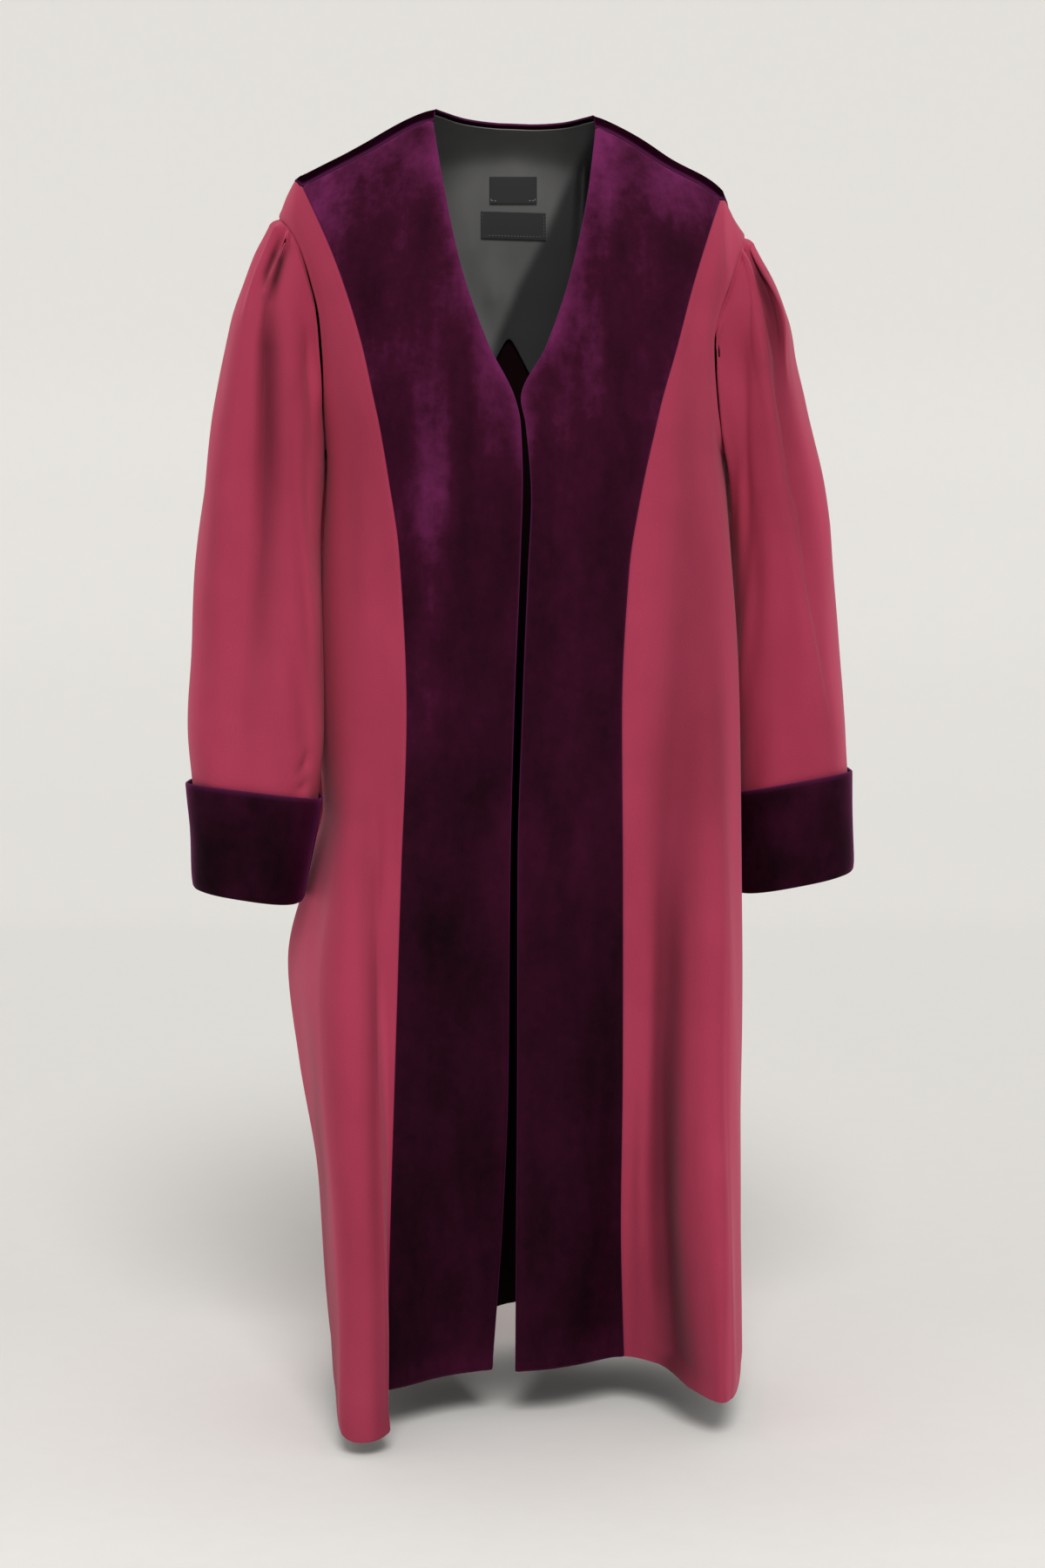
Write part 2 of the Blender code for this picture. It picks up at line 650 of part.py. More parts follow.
def sleeve_section(side, angle, height):
    """Across (outwards) and depth on a sleeve's oval; angle 0 is the outer side and 90 the front."""
    inner = sleeve_curve(side, "inner")(height)
    outer = sleeve_curve(side, "outer")(height)
    front = sleeve_curve(side, "front")(height)
    back = sleeve_curve(side, "back")(height)
    radians = np.radians(angle)
    power = 2.0 / SLEEVE_POWER
    cosine = np.sign(np.cos(radians)) * np.abs(np.cos(radians)) ** power
    sine = np.sign(np.sin(radians)) * np.abs(np.sin(radians)) ** power
    width = (inner + outer) / 2.0 + (outer - inner) / 2.0 * cosine
    depth = (front + back) / 2.0 + (front - back) / 2.0 * sine
    return width, depth


def armhole_point(side, angle):
    """A point on the armhole's edge: angle 0 at the shoulder end, 90 at the front, 180 at the underarm."""
    top, bottom = armhole_ends(side)
    height = (top + bottom) / 2.0 + (top - bottom) / 2.0 * np.cos(np.radians(angle))
    front = body_point(side, side_edge_angle(side, np.maximum(height, bottom + 1e-6), "front"), height)
    back = body_point(side, side_edge_angle(side, np.maximum(height, bottom + 1e-6), "back"), height)
    on_front = (np.sin(np.radians(angle)) >= 0.0)[..., None]
    return np.where(on_front, front, back)


ARMHOLE_ANGLE = smooth_curve(column(GATHER, GATHER_COLUMNS, "line"), column(GATHER, GATHER_COLUMNS, "armhole"))


def sleeve_angles():
    """Angles of the sleeve's lengthwise lines, open at the underarm seam."""
    line = column(SLEEVE_LINES, LINE_COLUMNS, "line")
    angle = column(SLEEVE_LINES, LINE_COLUMNS, "angle")
    return np.interp(np.arange(line[-1] + 1), line, angle) * (1.0 - UNDERARM_SLIT)


def pleat_rise(side, angle, below):
    """How far the head's pleats stand out, each fading down the sleeve."""
    total = np.zeros(np.broadcast(angle, below).shape)
    for centre, width, rise, length in PLEATS[side]:
        fade = ease(below / 0.010) * (1.0 - ease((below / length - 0.35) / 0.65))
        total = total + rise * np.exp(-(((angle - centre) / width) ** 2)) * fade
    return total


def sleeve_points(side):
    """Grid of a sleeve: round from the underarm seam over the top, and down from the armhole to the cuff."""
    down = STEPS["sleeve"]
    angle = sleeve_angles()[None, :]
    v = down_steps(down, 0.62)[:, None]
    start = armhole_point(side, ARMHOLE_ANGLE(angle))[0]
    end = sleeve_end_height(side, angle)
    height = blend(start[None, :, 2], end, v)
    width, depth = sleeve_section(side, angle, height)
    head_width, head_depth = sleeve_section(side, angle, start[None, :, 2])
    below = start[None, :, 2] - height
    pull = (1.0 - ease(below / HEAD_SETTLE)) ** 1.3
    gap = blend(ARMHOLE_GAP, UNDERARM_GAP, (1.0 - np.cos(np.radians(angle))) / 2.0)
    width = width + pull * (side * start[None, :, 0] - head_width) + gap
    depth = depth + pull * (start[None, :, 1] - head_depth)
    rise = pleat_rise(side, angle, below)
    radians = np.radians(angle)
    width = width + rise * np.cos(radians)
    depth = depth - rise * np.sin(radians)
    height = height - ARMHOLE_GAP * np.maximum(np.cos(radians), 0.0) * (1.0 - v)
    return np.stack((side * width, depth, height), axis=-1)


def sleeve_end_height(side, angle):
    """The sleeve's slanting end, higher on its outer side."""
    width = sleeve_section(side, angle, SLEEVE_END[side])[0]
    middle = sleeve_section(side, np.array(90.0), SLEEVE_END[side])[0]
    return SLEEVE_END[side] + SLEEVE_SLANT[side] * (width - middle)


def grid_normals(points):
    """Outward unit normals of a grid, from its neighbours across and down."""
    down = np.gradient(points, axis=0)
    across = np.gradient(points, axis=1)
    normal = np.cross(down, across)
    return normal / np.linalg.norm(normal, axis=-1, keepdims=True)


def cuff_points(side):
    """Grid of a cuff: from inside the sleeve, round its end and up the outside, made from the sleeve's own points."""
    angle = 180.0 * (1.0 - UNDERARM_SLIT) * np.linspace(-1.0, 1.0, STEPS["cuff"] + 1)[None, :]
    rise = column(CUFF_PROFILE, CUFF_COLUMNS, "rise")[:, None]
    offset = column(CUFF_PROFILE, CUFF_COLUMNS, "offset")[:, None]
    front = CUFF_FRONT_RISE * np.maximum(np.sin(np.radians(angle)), 0.0)
    end = sleeve_end_height(side, angle)
    height = end + rise * (CUFF_HEIGHT[side] + front / 0.1)
    held = np.maximum(height, end)
    width, depth = sleeve_section(side, angle, held)
    gap = blend(ARMHOLE_GAP, UNDERARM_GAP, (1.0 - np.cos(np.radians(angle))) / 2.0)
    wall = np.stack((side * (width + gap), depth, height), axis=-1)
    ring = np.stack((side * (width[0] + gap[0]), depth[0]), axis=-1)
    tangent = np.gradient(ring, axis=0)
    tangent = tangent / np.linalg.norm(tangent, axis=-1, keepdims=True)
    outward = side * np.stack((-tangent[:, 1], tangent[:, 0]), axis=-1)
    wall[..., 0] += offset * outward[None, :, 0]
    wall[..., 1] += offset * outward[None, :, 1]
    return wall


def lining_low_edge(across):
    """Height of the lining's lower edge: a narrow arch over the middle that levels out to both sides."""
    away = np.sqrt((across - LINING_ARCH_CENTRE) ** 2 + LINING_ARCH_ROUND**2) - LINING_ARCH_ROUND
    return LINING_ARCH_TOP - LINING_ARCH_DEPTH * np.tanh(LINING_ARCH_SLOPE * away / LINING_ARCH_DEPTH)


def inward(points, distance):
    """A grid that runs down and across the back, from left to right, moved towards the wearer."""
    return points + distance * grid_normals(points)


def lining_points():
    """Grid of the back lining, made from the yoke's and back's own surface and moved in."""
    across, bend, hang = STEPS["lining"]
    part = np.linspace(LINING_SHARE, 1.0 - LINING_SHARE, across + 1)
    top_across, top_turn = yoke_top(part, LINING_INSET)
    low_across = np.interp(part, (part[0], 0.5, part[-1]), (-LINING_REACH, LINING_ARCH_CENTRE, LINING_REACH))
    low_turn = turn_at_height(low_across, lining_low_edge(low_across))
    v = bend_rows(bend, hang)
    place = blend(top_across[None, :], low_across[None, :], v)
    points = over_shoulder(place, bend_turn(top_turn + LINING_STEP, low_turn, v))
    return inward(points, VELVET_WALL / 2.0 + LINING_GAP + SATIN_WALL / 2.0)


def label_points(name):
    """Grid of a label: a small rectangle laid on the lining."""
    centre, top, bottom, width, tilt = LABELS[name]
    across, down = STEPS["label"]
    place = centre + width * np.linspace(-0.5, 0.5, across + 1)[None, :]
    v = np.linspace(0.0, 1.0, down + 1)[:, None]
    height = blend(top, bottom, v) + tilt * (place - centre)
    place = place + 0.0 * height
    layers = VELVET_WALL / 2.0 + LINING_GAP + SATIN_WALL + LABEL_GAP + LABEL_WALL / 2.0
    return inward(over_shoulder(place, turn_at_height(place, height)), layers)


def make_material(name):
    """A plain material with the cloth's colour and roughness."""
    material = bpy.data.materials.new(name)
    material.use_nodes = True
    shader = material.node_tree.nodes["Principled BSDF"]
    colour, roughness = COLOURS[name]
    shader.inputs["Base Color"].default_value = colour
    shader.inputs["Roughness"].default_value = roughness
    shader.inputs["Metallic"].default_value = 0.0
    material.diffuse_color = colour
    return material


def sew(name, points, wall, material, collection):
    """Turn a grid into an open sheet, and give it its wall with Solidify, half to each side."""
    rows, columns = points.shape[:2]
    index = np.arange(rows * columns).reshape(rows, columns)
    corners = (index[:-1, :-1], index[1:, :-1], index[1:, 1:], index[:-1, 1:])
    faces = np.stack([corner.ravel() for corner in corners], axis=-1)
    mesh = bpy.data.meshes.new(name)
    mesh.from_pydata(points.reshape(-1, 3).tolist(), [], faces.tolist())
    mesh.validate()
    mesh.shade_smooth()
    mesh.materials.append(material)
    piece = bpy.data.objects.new(name, mesh)
    collection.objects.link(piece)
    solid = piece.modifiers.new("wall", "SOLIDIFY")
    solid.thickness = wall
    solid.offset = 0.0
    solid.use_rim = True
    return piece


def main():
    """Clear the file and make every piece of the robe."""
    for thing in list(bpy.data.objects):
        bpy.data.objects.remove(thing, do_unlink=True)
    collection = bpy.data.collections.new(GARMENT)
    bpy.context.scene.collection.children.link(collection)
    cloth = {name: make_material(name) for name in COLOURS}
    for side, word in ((LEFT, "left"), (RIGHT, "right")):
        flip = slice(None, None, -1) if side == LEFT else slice(None)
        sew("band_" + word, band_points(side)[:, flip], VELVET_WALL, cloth["velvet"], collection)
        sew("front_" + word, front_points(side)[:, flip], WOOL_WALL, cloth["wool"], collection)
        around = slice(None) if side == LEFT else slice(None, None, -1)
        sew("sleeve_" + word, sleeve_points(side)[:, around], WOOL_WALL, cloth["wool"], collection)
        sew("cuff_" + word, cuff_points(side)[::-1, around], VELVET_WALL, cloth["velvet"], collection)
    sew("back", back_points()[:, ::-1], WOOL_WALL, cloth["wool"], collection)
    sew("yoke", yoke_points()[:, ::-1], VELVET_WALL, cloth["velvet"], collection)
    sew("lining", lining_points()[:, ::-1], SATIN_WALL, cloth["satin"], collection)
    for name in LABELS:
        sew(name, label_points(name)[:, ::-1], LABEL_WALL, cloth["label"], collection)


main()
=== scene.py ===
"""Looks of the judicial robe: wool body and sleeves, velvet trims, satin half lining and two bare labels.

Metres, +Z up and the front towards -Y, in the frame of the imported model. Left and right are as seen from
the front. Every panel is a grid surface worked out from the robe's own sizes and finished with a wall of its
cloth's thickness.
"""

import logging
import math
from dataclasses import dataclass, field
from enum import Enum

import bpy
import numpy as np
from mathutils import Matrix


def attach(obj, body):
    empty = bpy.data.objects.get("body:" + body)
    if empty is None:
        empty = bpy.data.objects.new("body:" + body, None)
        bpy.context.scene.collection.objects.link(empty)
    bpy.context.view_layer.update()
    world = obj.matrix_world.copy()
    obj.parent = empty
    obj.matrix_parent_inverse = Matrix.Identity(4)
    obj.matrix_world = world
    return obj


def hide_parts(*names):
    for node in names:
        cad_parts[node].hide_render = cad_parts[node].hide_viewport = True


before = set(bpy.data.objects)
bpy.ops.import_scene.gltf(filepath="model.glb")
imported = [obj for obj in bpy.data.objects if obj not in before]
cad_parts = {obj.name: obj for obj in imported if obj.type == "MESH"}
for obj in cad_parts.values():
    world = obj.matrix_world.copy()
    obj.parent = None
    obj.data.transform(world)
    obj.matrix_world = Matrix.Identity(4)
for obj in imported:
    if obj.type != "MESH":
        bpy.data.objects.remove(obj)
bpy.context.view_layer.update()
LOG = logging.getLogger("robe")

Grid = np.ndarray
Rows = tuple[tuple[float, ...], ...]
Triple = tuple[float, float, float]
Socket = bpy.types.NodeSocket

WOOL_WALL = 0.0016
VELVET_WALL = 0.0020
VELVET_ROUNDING = 0.0006
LINING_ROUNDING = 0.0003
SEAM_SHARE = 0.0022
BODY_MIDDLE = (0.0, 0.0, -0.5)


class Side(Enum):
    """The side of the robe, as seen from the front, with the sign of its across direction."""

    LEFT = -1
    RIGHT = 1

    @property
    def word(self) -> str:
        """The side's name, as the frame's nodes use it."""
        return self.name.lower()


class Face(Enum):
    """The face of a tube or body that a fold lies on."""

    FRONT = -1.0
    BACK = 1.0


def blend(first: Grid | float, second: Grid | float, part: Grid | float) -> Grid:
    """The value a given part of the way from the first to the second."""
    return first + (second - first) * part


def ease(part: Grid | float) -> Grid:
    """A ramp from 0 to 1 that starts and ends level: 3 x squared less 2 x cubed, held between 0 and 1."""
    part = np.clip(part, 0.0, 1.0)
    return part * part * (3.0 - 2.0 * part)


@dataclass(frozen=True)
class Curve:
    """A smooth curve through known points that never overshoots them and runs straight on past both ends."""

    known: tuple[float, ...]
    values: tuple[float, ...]

    @classmethod
    def from_table(cls, rows: Rows, names: tuple[str, ...], along: str, name: str) -> "Curve":
        """Take one named column of a table as a curve over another.

        Args:
            rows: the table.
            names: its column names.
            along: the column that the curve runs along.
            name: the column that it gives.

        Returns:
            The curve.
        """
        first, second = names.index(along), names.index(name)
        pairs = sorted((row[first], row[second]) for row in rows)
        return cls(tuple(pair[0] for pair in pairs), tuple(pair[1] for pair in pairs))

    def __call__(self, position: Grid | float) -> Grid:
        """Read the curve: cubic pieces whose slopes are harmonic means of the straight slopes beside them.

        Args:
            position: places along the curve.

        Returns:
            The values there.
        """
        known, values = np.array(self.known), np.array(self.values)
        step = np.diff(known)
        slope = np.diff(values) / step
        inner = np.zeros(len(slope) - 1)
        rising = slope[:-1] * slope[1:] > 0.0
        inner[rising] = 2.0 * slope[:-1][rising] * slope[1:][rising] / (slope[:-1] + slope[1:])[rising]
        tangent = np.concatenate(([slope[0]], inner, [slope[-1]]))
        position = np.asarray(position, dtype=float)
        held = np.clip(position, known[0], known[-1])
        index = np.clip(np.searchsorted(known, held) - 1, 0, len(step) - 1)
        part = (held - known[index]) / step[index]
        value = (
            values[index] * (2 * part**3 - 3 * part**2 + 1)
            + values[index + 1] * (3 * part**2 - 2 * part**3)
            + step[index] * tangent[index] * (part**3 - 2 * part**2 + part)
            + step[index] * tangent[index + 1] * (part**3 - part**2)
        )
        past = position - held
        return value + np.where(past > 0.0, tangent[-1], tangent[0]) * past


def down_steps(count: int, crowding: float) -> Grid:
    """Steps from 0 to 1, closer together near the top the more the crowding nears 1."""
    even = np.linspace(0.0, 1.0, count + 1)
    return blend(even, even**2, crowding)


def edge_steps(count: int, pinch: float) -> Grid:
    """Steps from 0 to 1, closer together at both ends: x less pinch x sin(2 pi x) / (2 pi)."""
    even = np.linspace(0.0, 1.0, count + 1)
    return even - pinch * np.sin(2.0 * np.pi * even) / (2.0 * np.pi)


def unit(vectors: Grid) -> Grid:
    """The vectors, each divided by its own length."""
    return vectors / np.maximum(np.linalg.norm(vectors, axis=-1, keepdims=True), 1e-12)


def outward_normals(points: Grid, centre: Grid) -> Grid:
    """Unit normals of a grid: the cross product of its steps down and across, turned away from a centre.

    Args:
        points: rows by columns by 3.
        centre: a point, or one for each row, that the cloth goes round.

    Returns:
        The normals, rows by columns by 3.
    """
    normal = unit(np.cross(np.gradient(points, axis=0), np.gradient(points, axis=1)))
    away = np.sum(normal * (points - centre))
    return normal * (1.0 if away > 0.0 else -1.0)


def step_lengths(points: Grid, axis: int) -> Grid:
    """Distance along the cloth from its first row or column, summed over the steps between neighbours."""
    steps = np.linalg.norm(np.diff(points, axis=axis), axis=-1)
    start = np.zeros_like(np.take(steps, [0], axis=axis))
    return np.concatenate((start, np.cumsum(steps, axis=axis)), axis=axis)


def ripple(first: Grid, second: Grid, seed: int, length: float, waves: int = 7) -> Grid:
    """Soft unevenness of cloth between about -1 and 1: a sum of cosines with seeded directions and lengths.

    Args:
        first: distance one way over the cloth.
        second: distance the other way.
        seed: number that fixes the pattern.
        length: typical wave length in metres.
        waves: how many cosines are summed.

    Returns:
        The unevenness at each point.
    """
    draw = np.random.default_rng(seed)
    total = np.zeros(np.broadcast(first, second).shape)
    for _ in range(waves):
        turn = draw.uniform(0.0, 2.0 * np.pi)
        pace = 2.0 * np.pi / (length * draw.uniform(0.7, 1.5))
        phase = draw.uniform(0.0, 6.28)
        total = total + np.cos(pace * (first * np.cos(turn) + second * np.sin(turn)) + phase)
    return total / math.sqrt(waves)


@dataclass(frozen=True)
class EdgeDistance:
    """How far each point of a grid lies from its four edges, measured along the cloth."""

    first: Grid
    last: Grid
    top: Grid
    low: Grid

    @classmethod
    def of(cls, points: Grid) -> "EdgeDistance":
        """Measure a grid of points."""
        run, fall = step_lengths(points, 1), step_lengths(points, 0)
        return cls(run, run[:, -1:] - run, fall, fall[-1:] - fall)

    @property
    def nearest(self) -> Grid:
        """The distance from the nearest of the four edges."""
        return np.minimum(np.minimum(self.first, self.last), np.minimum(self.top, self.low))


@dataclass(frozen=True)
class Fold:
    """A ridge or trough laid down a path of rows: across, height, width and rise.

    The flank on the +X side is as wide as the other one times the skew, so that a small skew makes a crisp
    edge there.
    """

    points: Rows
    face: Face = Face.FRONT
    power: float = 2.0
    skew: float = 1.0

    def rise(self, across: Grid, height: Grid) -> Grid:
        """How far the fold lifts the cloth: rise x exp(-(distance / width) to the power).

        Args:
            across: across positions of the cloth's points.
            height: heights of the cloth's points.

        Returns:
            The lift in metres, negative in a trough.
        """
        nearest = np.full(across.shape, np.inf)
        lift = np.zeros(across.shape)
        for (start_x, start_z, start_width, start_rise), (end_x, end_z, end_width, end_rise) in zip(
            self.points[:-1], self.points[1:]
        ):
            run_x, run_z = end_x - start_x, end_z - start_z
            away_x, away_z = across - start_x, height - start_z
            part = np.clip((away_x * run_x + away_z * run_z) / (run_x**2 + run_z**2), 0.0, 1.0)
            distance = np.hypot(away_x - part * run_x, away_z - part * run_z)
            right = run_x * away_z - run_z * away_x > 0.0
            width = blend(start_width, end_width, part) * np.where(right, self.skew, 1.0)
            rise = blend(start_rise, end_rise, part) * np.exp(-((distance / width) ** self.power))
            closer = distance < nearest
            nearest = np.where(closer, distance, nearest)
            lift = np.where(closer, rise, lift)
        return lift


def painted_fold_shade(folds: tuple[Fold, ...], points: Grid) -> Grid:
    """How much painted shade darkens the cloth in its deepest folds: the folds' rises joined so that they
    never pass 1.
    """
    light = np.ones(points.shape[:2])
    for fold in folds:
        light = light * (1.0 - fold.rise(points[..., 0], points[..., 2]))
    return 1.0 - light


def painted_side_light(normals: Grid) -> Grid:
    """How much painted side light brightens the wool: 0 where it faces front or back, more on the flanks."""
    most, facing, span = 0.85, 0.86, 0.55
    return most * ease((facing - np.abs(normals[..., 1])) / span)


def fold_lift(folds: tuple[Fold, ...], points: Grid, normals: Grid) -> Grid:
    """Sum of the folds' lifts, each only on the face of the cloth that it lies on."""
    total = np.zeros(points.shape[:2])
    for fold in folds:
        facing = ease(0.5 + 2.5 * fold.face.value * normals[..., 1])
        total = total + fold.rise(points[..., 0], points[..., 2]) * facing
    return total


SECTION_COLUMNS = ("height", "left_width", "right_width", "front", "back", "left_turn", "right_turn")
CREST_COLUMNS = ("width", "left_height", "right_height")
NECK_COLUMNS = ("share", "turn")
ARMHOLE_COLUMNS = ("height", "front", "back")
BAND_COLUMNS = ("height", "free_edge", "seam")
HEM_COLUMNS = ("angle", "left_height", "right_height")
UNDERARM = -0.290


@dataclass
class RobeForm:
    """The robe's hollow form: sections round a general figure, shoulder line, armholes, swells and hem.

    A swell's columns are side, centre angle, spread, push and the height where it starts.
    """

    power: float = 2.6
    front_rounding: float = 0.100
    back_rounding: float = 0.050
    seam_drop: float = 0.0145
    neck_width: float = 0.079
    neck_power: float = 0.6
    neck_crowding: float = 1.35
    yoke_height: float = -0.125
    shoulder_share: float = 0.30
    bend_share: float = 0.6
    side_seam_angle: float = 90.0
    yoke_end: dict[int, float] = field(default_factory=lambda: {-1: 0.206, 1: 0.200})
    sections: Rows = (
        (0.060, 0.262, 0.262, -0.064, 0.082, 0.000, 0.000),
        (-0.050, 0.248, 0.250, -0.088, 0.098, 0.000, 0.000),
        (-0.100, 0.227, 0.236, -0.106, 0.106, 0.000, 0.000),
        (-0.160, 0.204, 0.214, -0.122, 0.112, 0.000, 0.000),
        (-0.220, 0.193, 0.206, -0.132, 0.114, 0.000, 0.000),
        (UNDERARM, 0.186, 0.206, -0.136, 0.114, 0.018, -0.004),
        (-0.340, 0.189, 0.209, -0.136, 0.112, 0.038, -0.018),
        (-0.400, 0.194, 0.213, -0.136, 0.110, 0.056, -0.030),
        (-0.550, 0.197, 0.220, -0.134, 0.108, 0.068, -0.040),
        (-0.640, 0.195, 0.223, -0.132, 0.108, 0.064, -0.040),
        (-0.700, 0.208, 0.224, -0.131, 0.109, 0.050, -0.040),
        (-0.800, 0.228, 0.2245, -0.128, 0.111, 0.045, -0.040),
        (-0.900, 0.218, 0.2245, -0.124, 0.112, 0.035, -0.040),
        (-1.020, 0.199, 0.2255, -0.120, 0.113, 0.020, -0.040),
        (-1.190, 0.186, 0.2265, -0.114, 0.113, 0.010, -0.040),
    )
    crest: Rows = (
        (0.000, 0.052, 0.052),
        (0.080, 0.045, 0.0385),
        (0.146, 0.013, 0.002),
        (0.203, -0.0155, -0.0325),
        (0.212, -0.020, -0.055),
        (0.222, -0.036, -0.070),
        (0.231, -0.058, -0.084),
        (0.260, -0.120, -0.140),
    )
    neck: Rows = (
        (0.00, 0.470),
        (0.19, 0.443),
        (0.38, 0.403),
        (0.51, 0.366),
        (0.63, 0.320),
        (0.76, 0.240),
        (0.86, 0.145),
        (0.94, 0.040),
        (0.985, -0.090),
        (1.00, -0.343),
    )
    armholes: dict[int, Rows] = field(
        default_factory=lambda: {
            -1: (
                (-0.058, 0.231, 0.231),
                (-0.074, 0.217, 0.220),
                (-0.094, 0.206, 0.210),
                (-0.125, 0.196, 0.200),
                (-0.161, 0.188, 0.192),
                (-0.220, 0.185, 0.187),
                (UNDERARM, 0.186, 0.186),
            ),
            1: (
                (-0.076, 0.226, 0.226),
                (-0.088, 0.222, 0.222),
                (-0.125, 0.209, 0.208),
                (-0.161, 0.197, 0.200),
                (-0.183, 0.193, 0.196),
                (-0.240, 0.197, 0.198),
                (UNDERARM, 0.206, 0.206),
            ),
        }
    )
    bands: dict[int, Rows] = field(
        default_factory=lambda: {
            -1: (
                (0.031, -0.078, -0.244),
                (-0.034, -0.067, -0.207),
                (-0.110, -0.051, -0.171),
                (-0.186, -0.025, -0.146),
                (-0.239, 0.001, -0.134),
                (-0.262, 0.006, -0.129),
                (-0.315, 0.008, -0.120),
                (-0.386, 0.006, -0.110),
                (-0.534, 0.000, -0.1035),
                (-0.690, -0.004, -0.109),
                (-0.900, -0.006, -0.116),
                (-1.035, -0.0115, -0.120),
                (-1.186, -0.022, -0.123),
            ),
            1: (
                (0.028, 0.077, 0.228),
                (-0.043, 0.069, 0.199),
                (-0.123, 0.0525, 0.173),
                (-0.190, 0.030, 0.1555),
                (-0.239, 0.0065, 0.1415),
                (-0.262, 0.011, 0.136),
                (-0.333, 0.0165, 0.1205),
                (-0.400, 0.0135, 0.110),
                (-0.534, 0.008, 0.1035),
                (-0.690, 0.0035, 0.105),
                (-0.900, 0.003, 0.106),
                (-1.035, 0.002, 0.105),
                (-1.186, 0.001, 0.109),
            ),
        }
    )
    hem: Rows = (
        (-10.0, -1.186, -1.189),
        (12.0, -1.187, -1.182),
        (26.0, -1.188, -1.182),
        (35.0, -1.189, -1.184),
        (43.0, -1.215, -1.191),
        (52.0, -1.220, -1.195),
        (62.0, -1.210, -1.196),
        (74.0, -1.196, -1.193),
        (90.0, -1.190, -1.189),
        (180.0, -1.190, -1.190),
    )
    swells: Rows = (
        (-1, 38.0, 20.0, 0.075, -0.52),
        (-1, -4.0, 9.0, -0.012, -0.30),
        (1, 22.0, 9.0, -0.028, -0.45),
        (1, 62.0, 17.0, 0.078, -0.40),
        (1, 3.0, 7.0, 0.012, -0.60),
    )

    def __post_init__(self) -> None:
        """Work out the curves of every table once."""
        names = SECTION_COLUMNS
        self.section = {name: Curve.from_table(self.sections, names, "height", name) for name in names[1:]}
        self.crest_height = {
            -1: Curve.from_table(self.crest, CREST_COLUMNS, "width", "left_height"),
            1: Curve.from_table(self.crest, CREST_COLUMNS, "width", "right_height"),
        }
        self.hem_height = {
            -1: Curve.from_table(self.hem, HEM_COLUMNS, "angle", "left_height"),
            1: Curve.from_table(self.hem, HEM_COLUMNS, "angle", "right_height"),
        }
        self.neck_turn = Curve.from_table(self.neck, NECK_COLUMNS, "share", "turn")
        self.hem_level = float(self.hem_height[-1](0.0))

    def side_value(self, name: str, side: Grid | int, height: Grid) -> Grid:
        """A left or right column of the sections at a height."""
        left, right = self.section["left_" + name](height), self.section["right_" + name](height)
        return np.where(np.asarray(side) < 0, left, right)

    def crest_at(self, side: Grid | int, width: Grid) -> Grid:
        """Height of the shoulder line at a half width."""
        return np.where(np.asarray(side) < 0, self.crest_height[-1](width), self.crest_height[1](width))

    def angle_at(self, side: Grid | int, width: Grid, height: Grid) -> Grid:
        """Angle round the body, from the centre front, at which the front has this half width."""
        share = np.clip(np.abs(width) / self.side_value("width", side, height), 0.0, 1.0)
        return np.sign(width) * np.degrees(np.arcsin(share ** (self.power / 2.0)))

    def swell_push(self, side: Grid | int, angle: Grid, height: Grid) -> Grid:
        """How far the broad swells bring the front forward: bell curves that grow towards the hem."""
        total = np.zeros(np.broadcast(side, angle, height).shape)
        for swell_side, centre, spread, push, start in self.swells:
            grown = np.clip((start - height) / (start - self.hem_level), 0.0, 1.0) ** 1.5
            wave = np.exp(-(((angle - centre) / spread) ** 2))
            total = total + np.where(np.asarray(side) == swell_side, push * grown * wave, 0.0)
        return total

    def point(self, side: Grid | int, angle: Grid, height: Grid) -> Grid:
        """A point of the body's wall: half an oval on each side, deepest at the centre front and centre back.

        Across = half width x sin(angle) to the power 2/n, and depth = turn -/+ its reach x cos(angle) to the
        power 2/n. Near the shoulder line the depth closes in on the line along a quarter circle.

        Args:
            side: -1 or 1, or a grid of them.
            angle: degrees from the centre front round to the centre back.
            height: heights.

        Returns:
            The points, with a last axis of 3.
        """
        radians = np.radians(angle)
        shape = 2.0 / self.power
        sine = np.sin(radians)
        width = self.side_value("width", side, height) * np.sign(sine) * np.abs(sine) ** shape
        turn = self.side_value("turn", side, height)
        reach = np.abs(np.cos(radians)) ** shape
        ahead = np.cos(radians) >= 0.0
        front = blend(turn, self.section["front"](height), reach)
        back = blend(turn, self.section["back"](height), reach)
        depth = np.where(ahead, front, back) - self.swell_push(side, angle, height)
        rounding = np.where(ahead, self.front_rounding, self.back_rounding)
        below = np.clip((self.crest_at(side, np.abs(width)) - height) / rounding, 0.0, 1.0)
        depth = depth * np.sqrt(np.clip(1.0 - (1.0 - below) ** 2, 0.0, 1.0))
        return np.stack(np.broadcast_arrays(side * width, depth, height), axis=-1)

    def armhole_width(self, side: int, edge: str) -> Curve:
        """Half width of the armhole's front or back edge by height."""
        return Curve.from_table(self.armholes[side], ARMHOLE_COLUMNS, "height", edge)

    def armhole_top(self, side: int) -> float:
        """Height of the armhole's top."""
        return self.armholes[side][0][0]

    def edge_angle(self, side: int, height: Grid, edge: str) -> Grid:
        """Angle of a panel's outer edge: along the armhole, and below it along the side seam."""
        open_angle = self.angle_at(side, self.armhole_width(side, edge)(height), height)
        if edge == "back":
            open_angle = 180.0 - open_angle
        return np.where(height > UNDERARM, open_angle, self.side_seam_angle)

    def band_curve(self, side: int, name: str) -> Curve:
        """How one column of a band's table runs with height."""
        return Curve.from_table(self.bands[side], BAND_COLUMNS, "height", name)

    def shoulder_seam_height(self, side: int, width: Grid) -> Grid:
        """Height of the shoulder seam: before the shoulder line along the yoke, and on it past its end."""
        end, tip = self.yoke_end[side], self.armholes[side][0][1]
        drop = self.seam_drop * (1.0 - ease((width - end) / (0.45 * (tip - end))))
        return self.crest_height[side](width) - drop

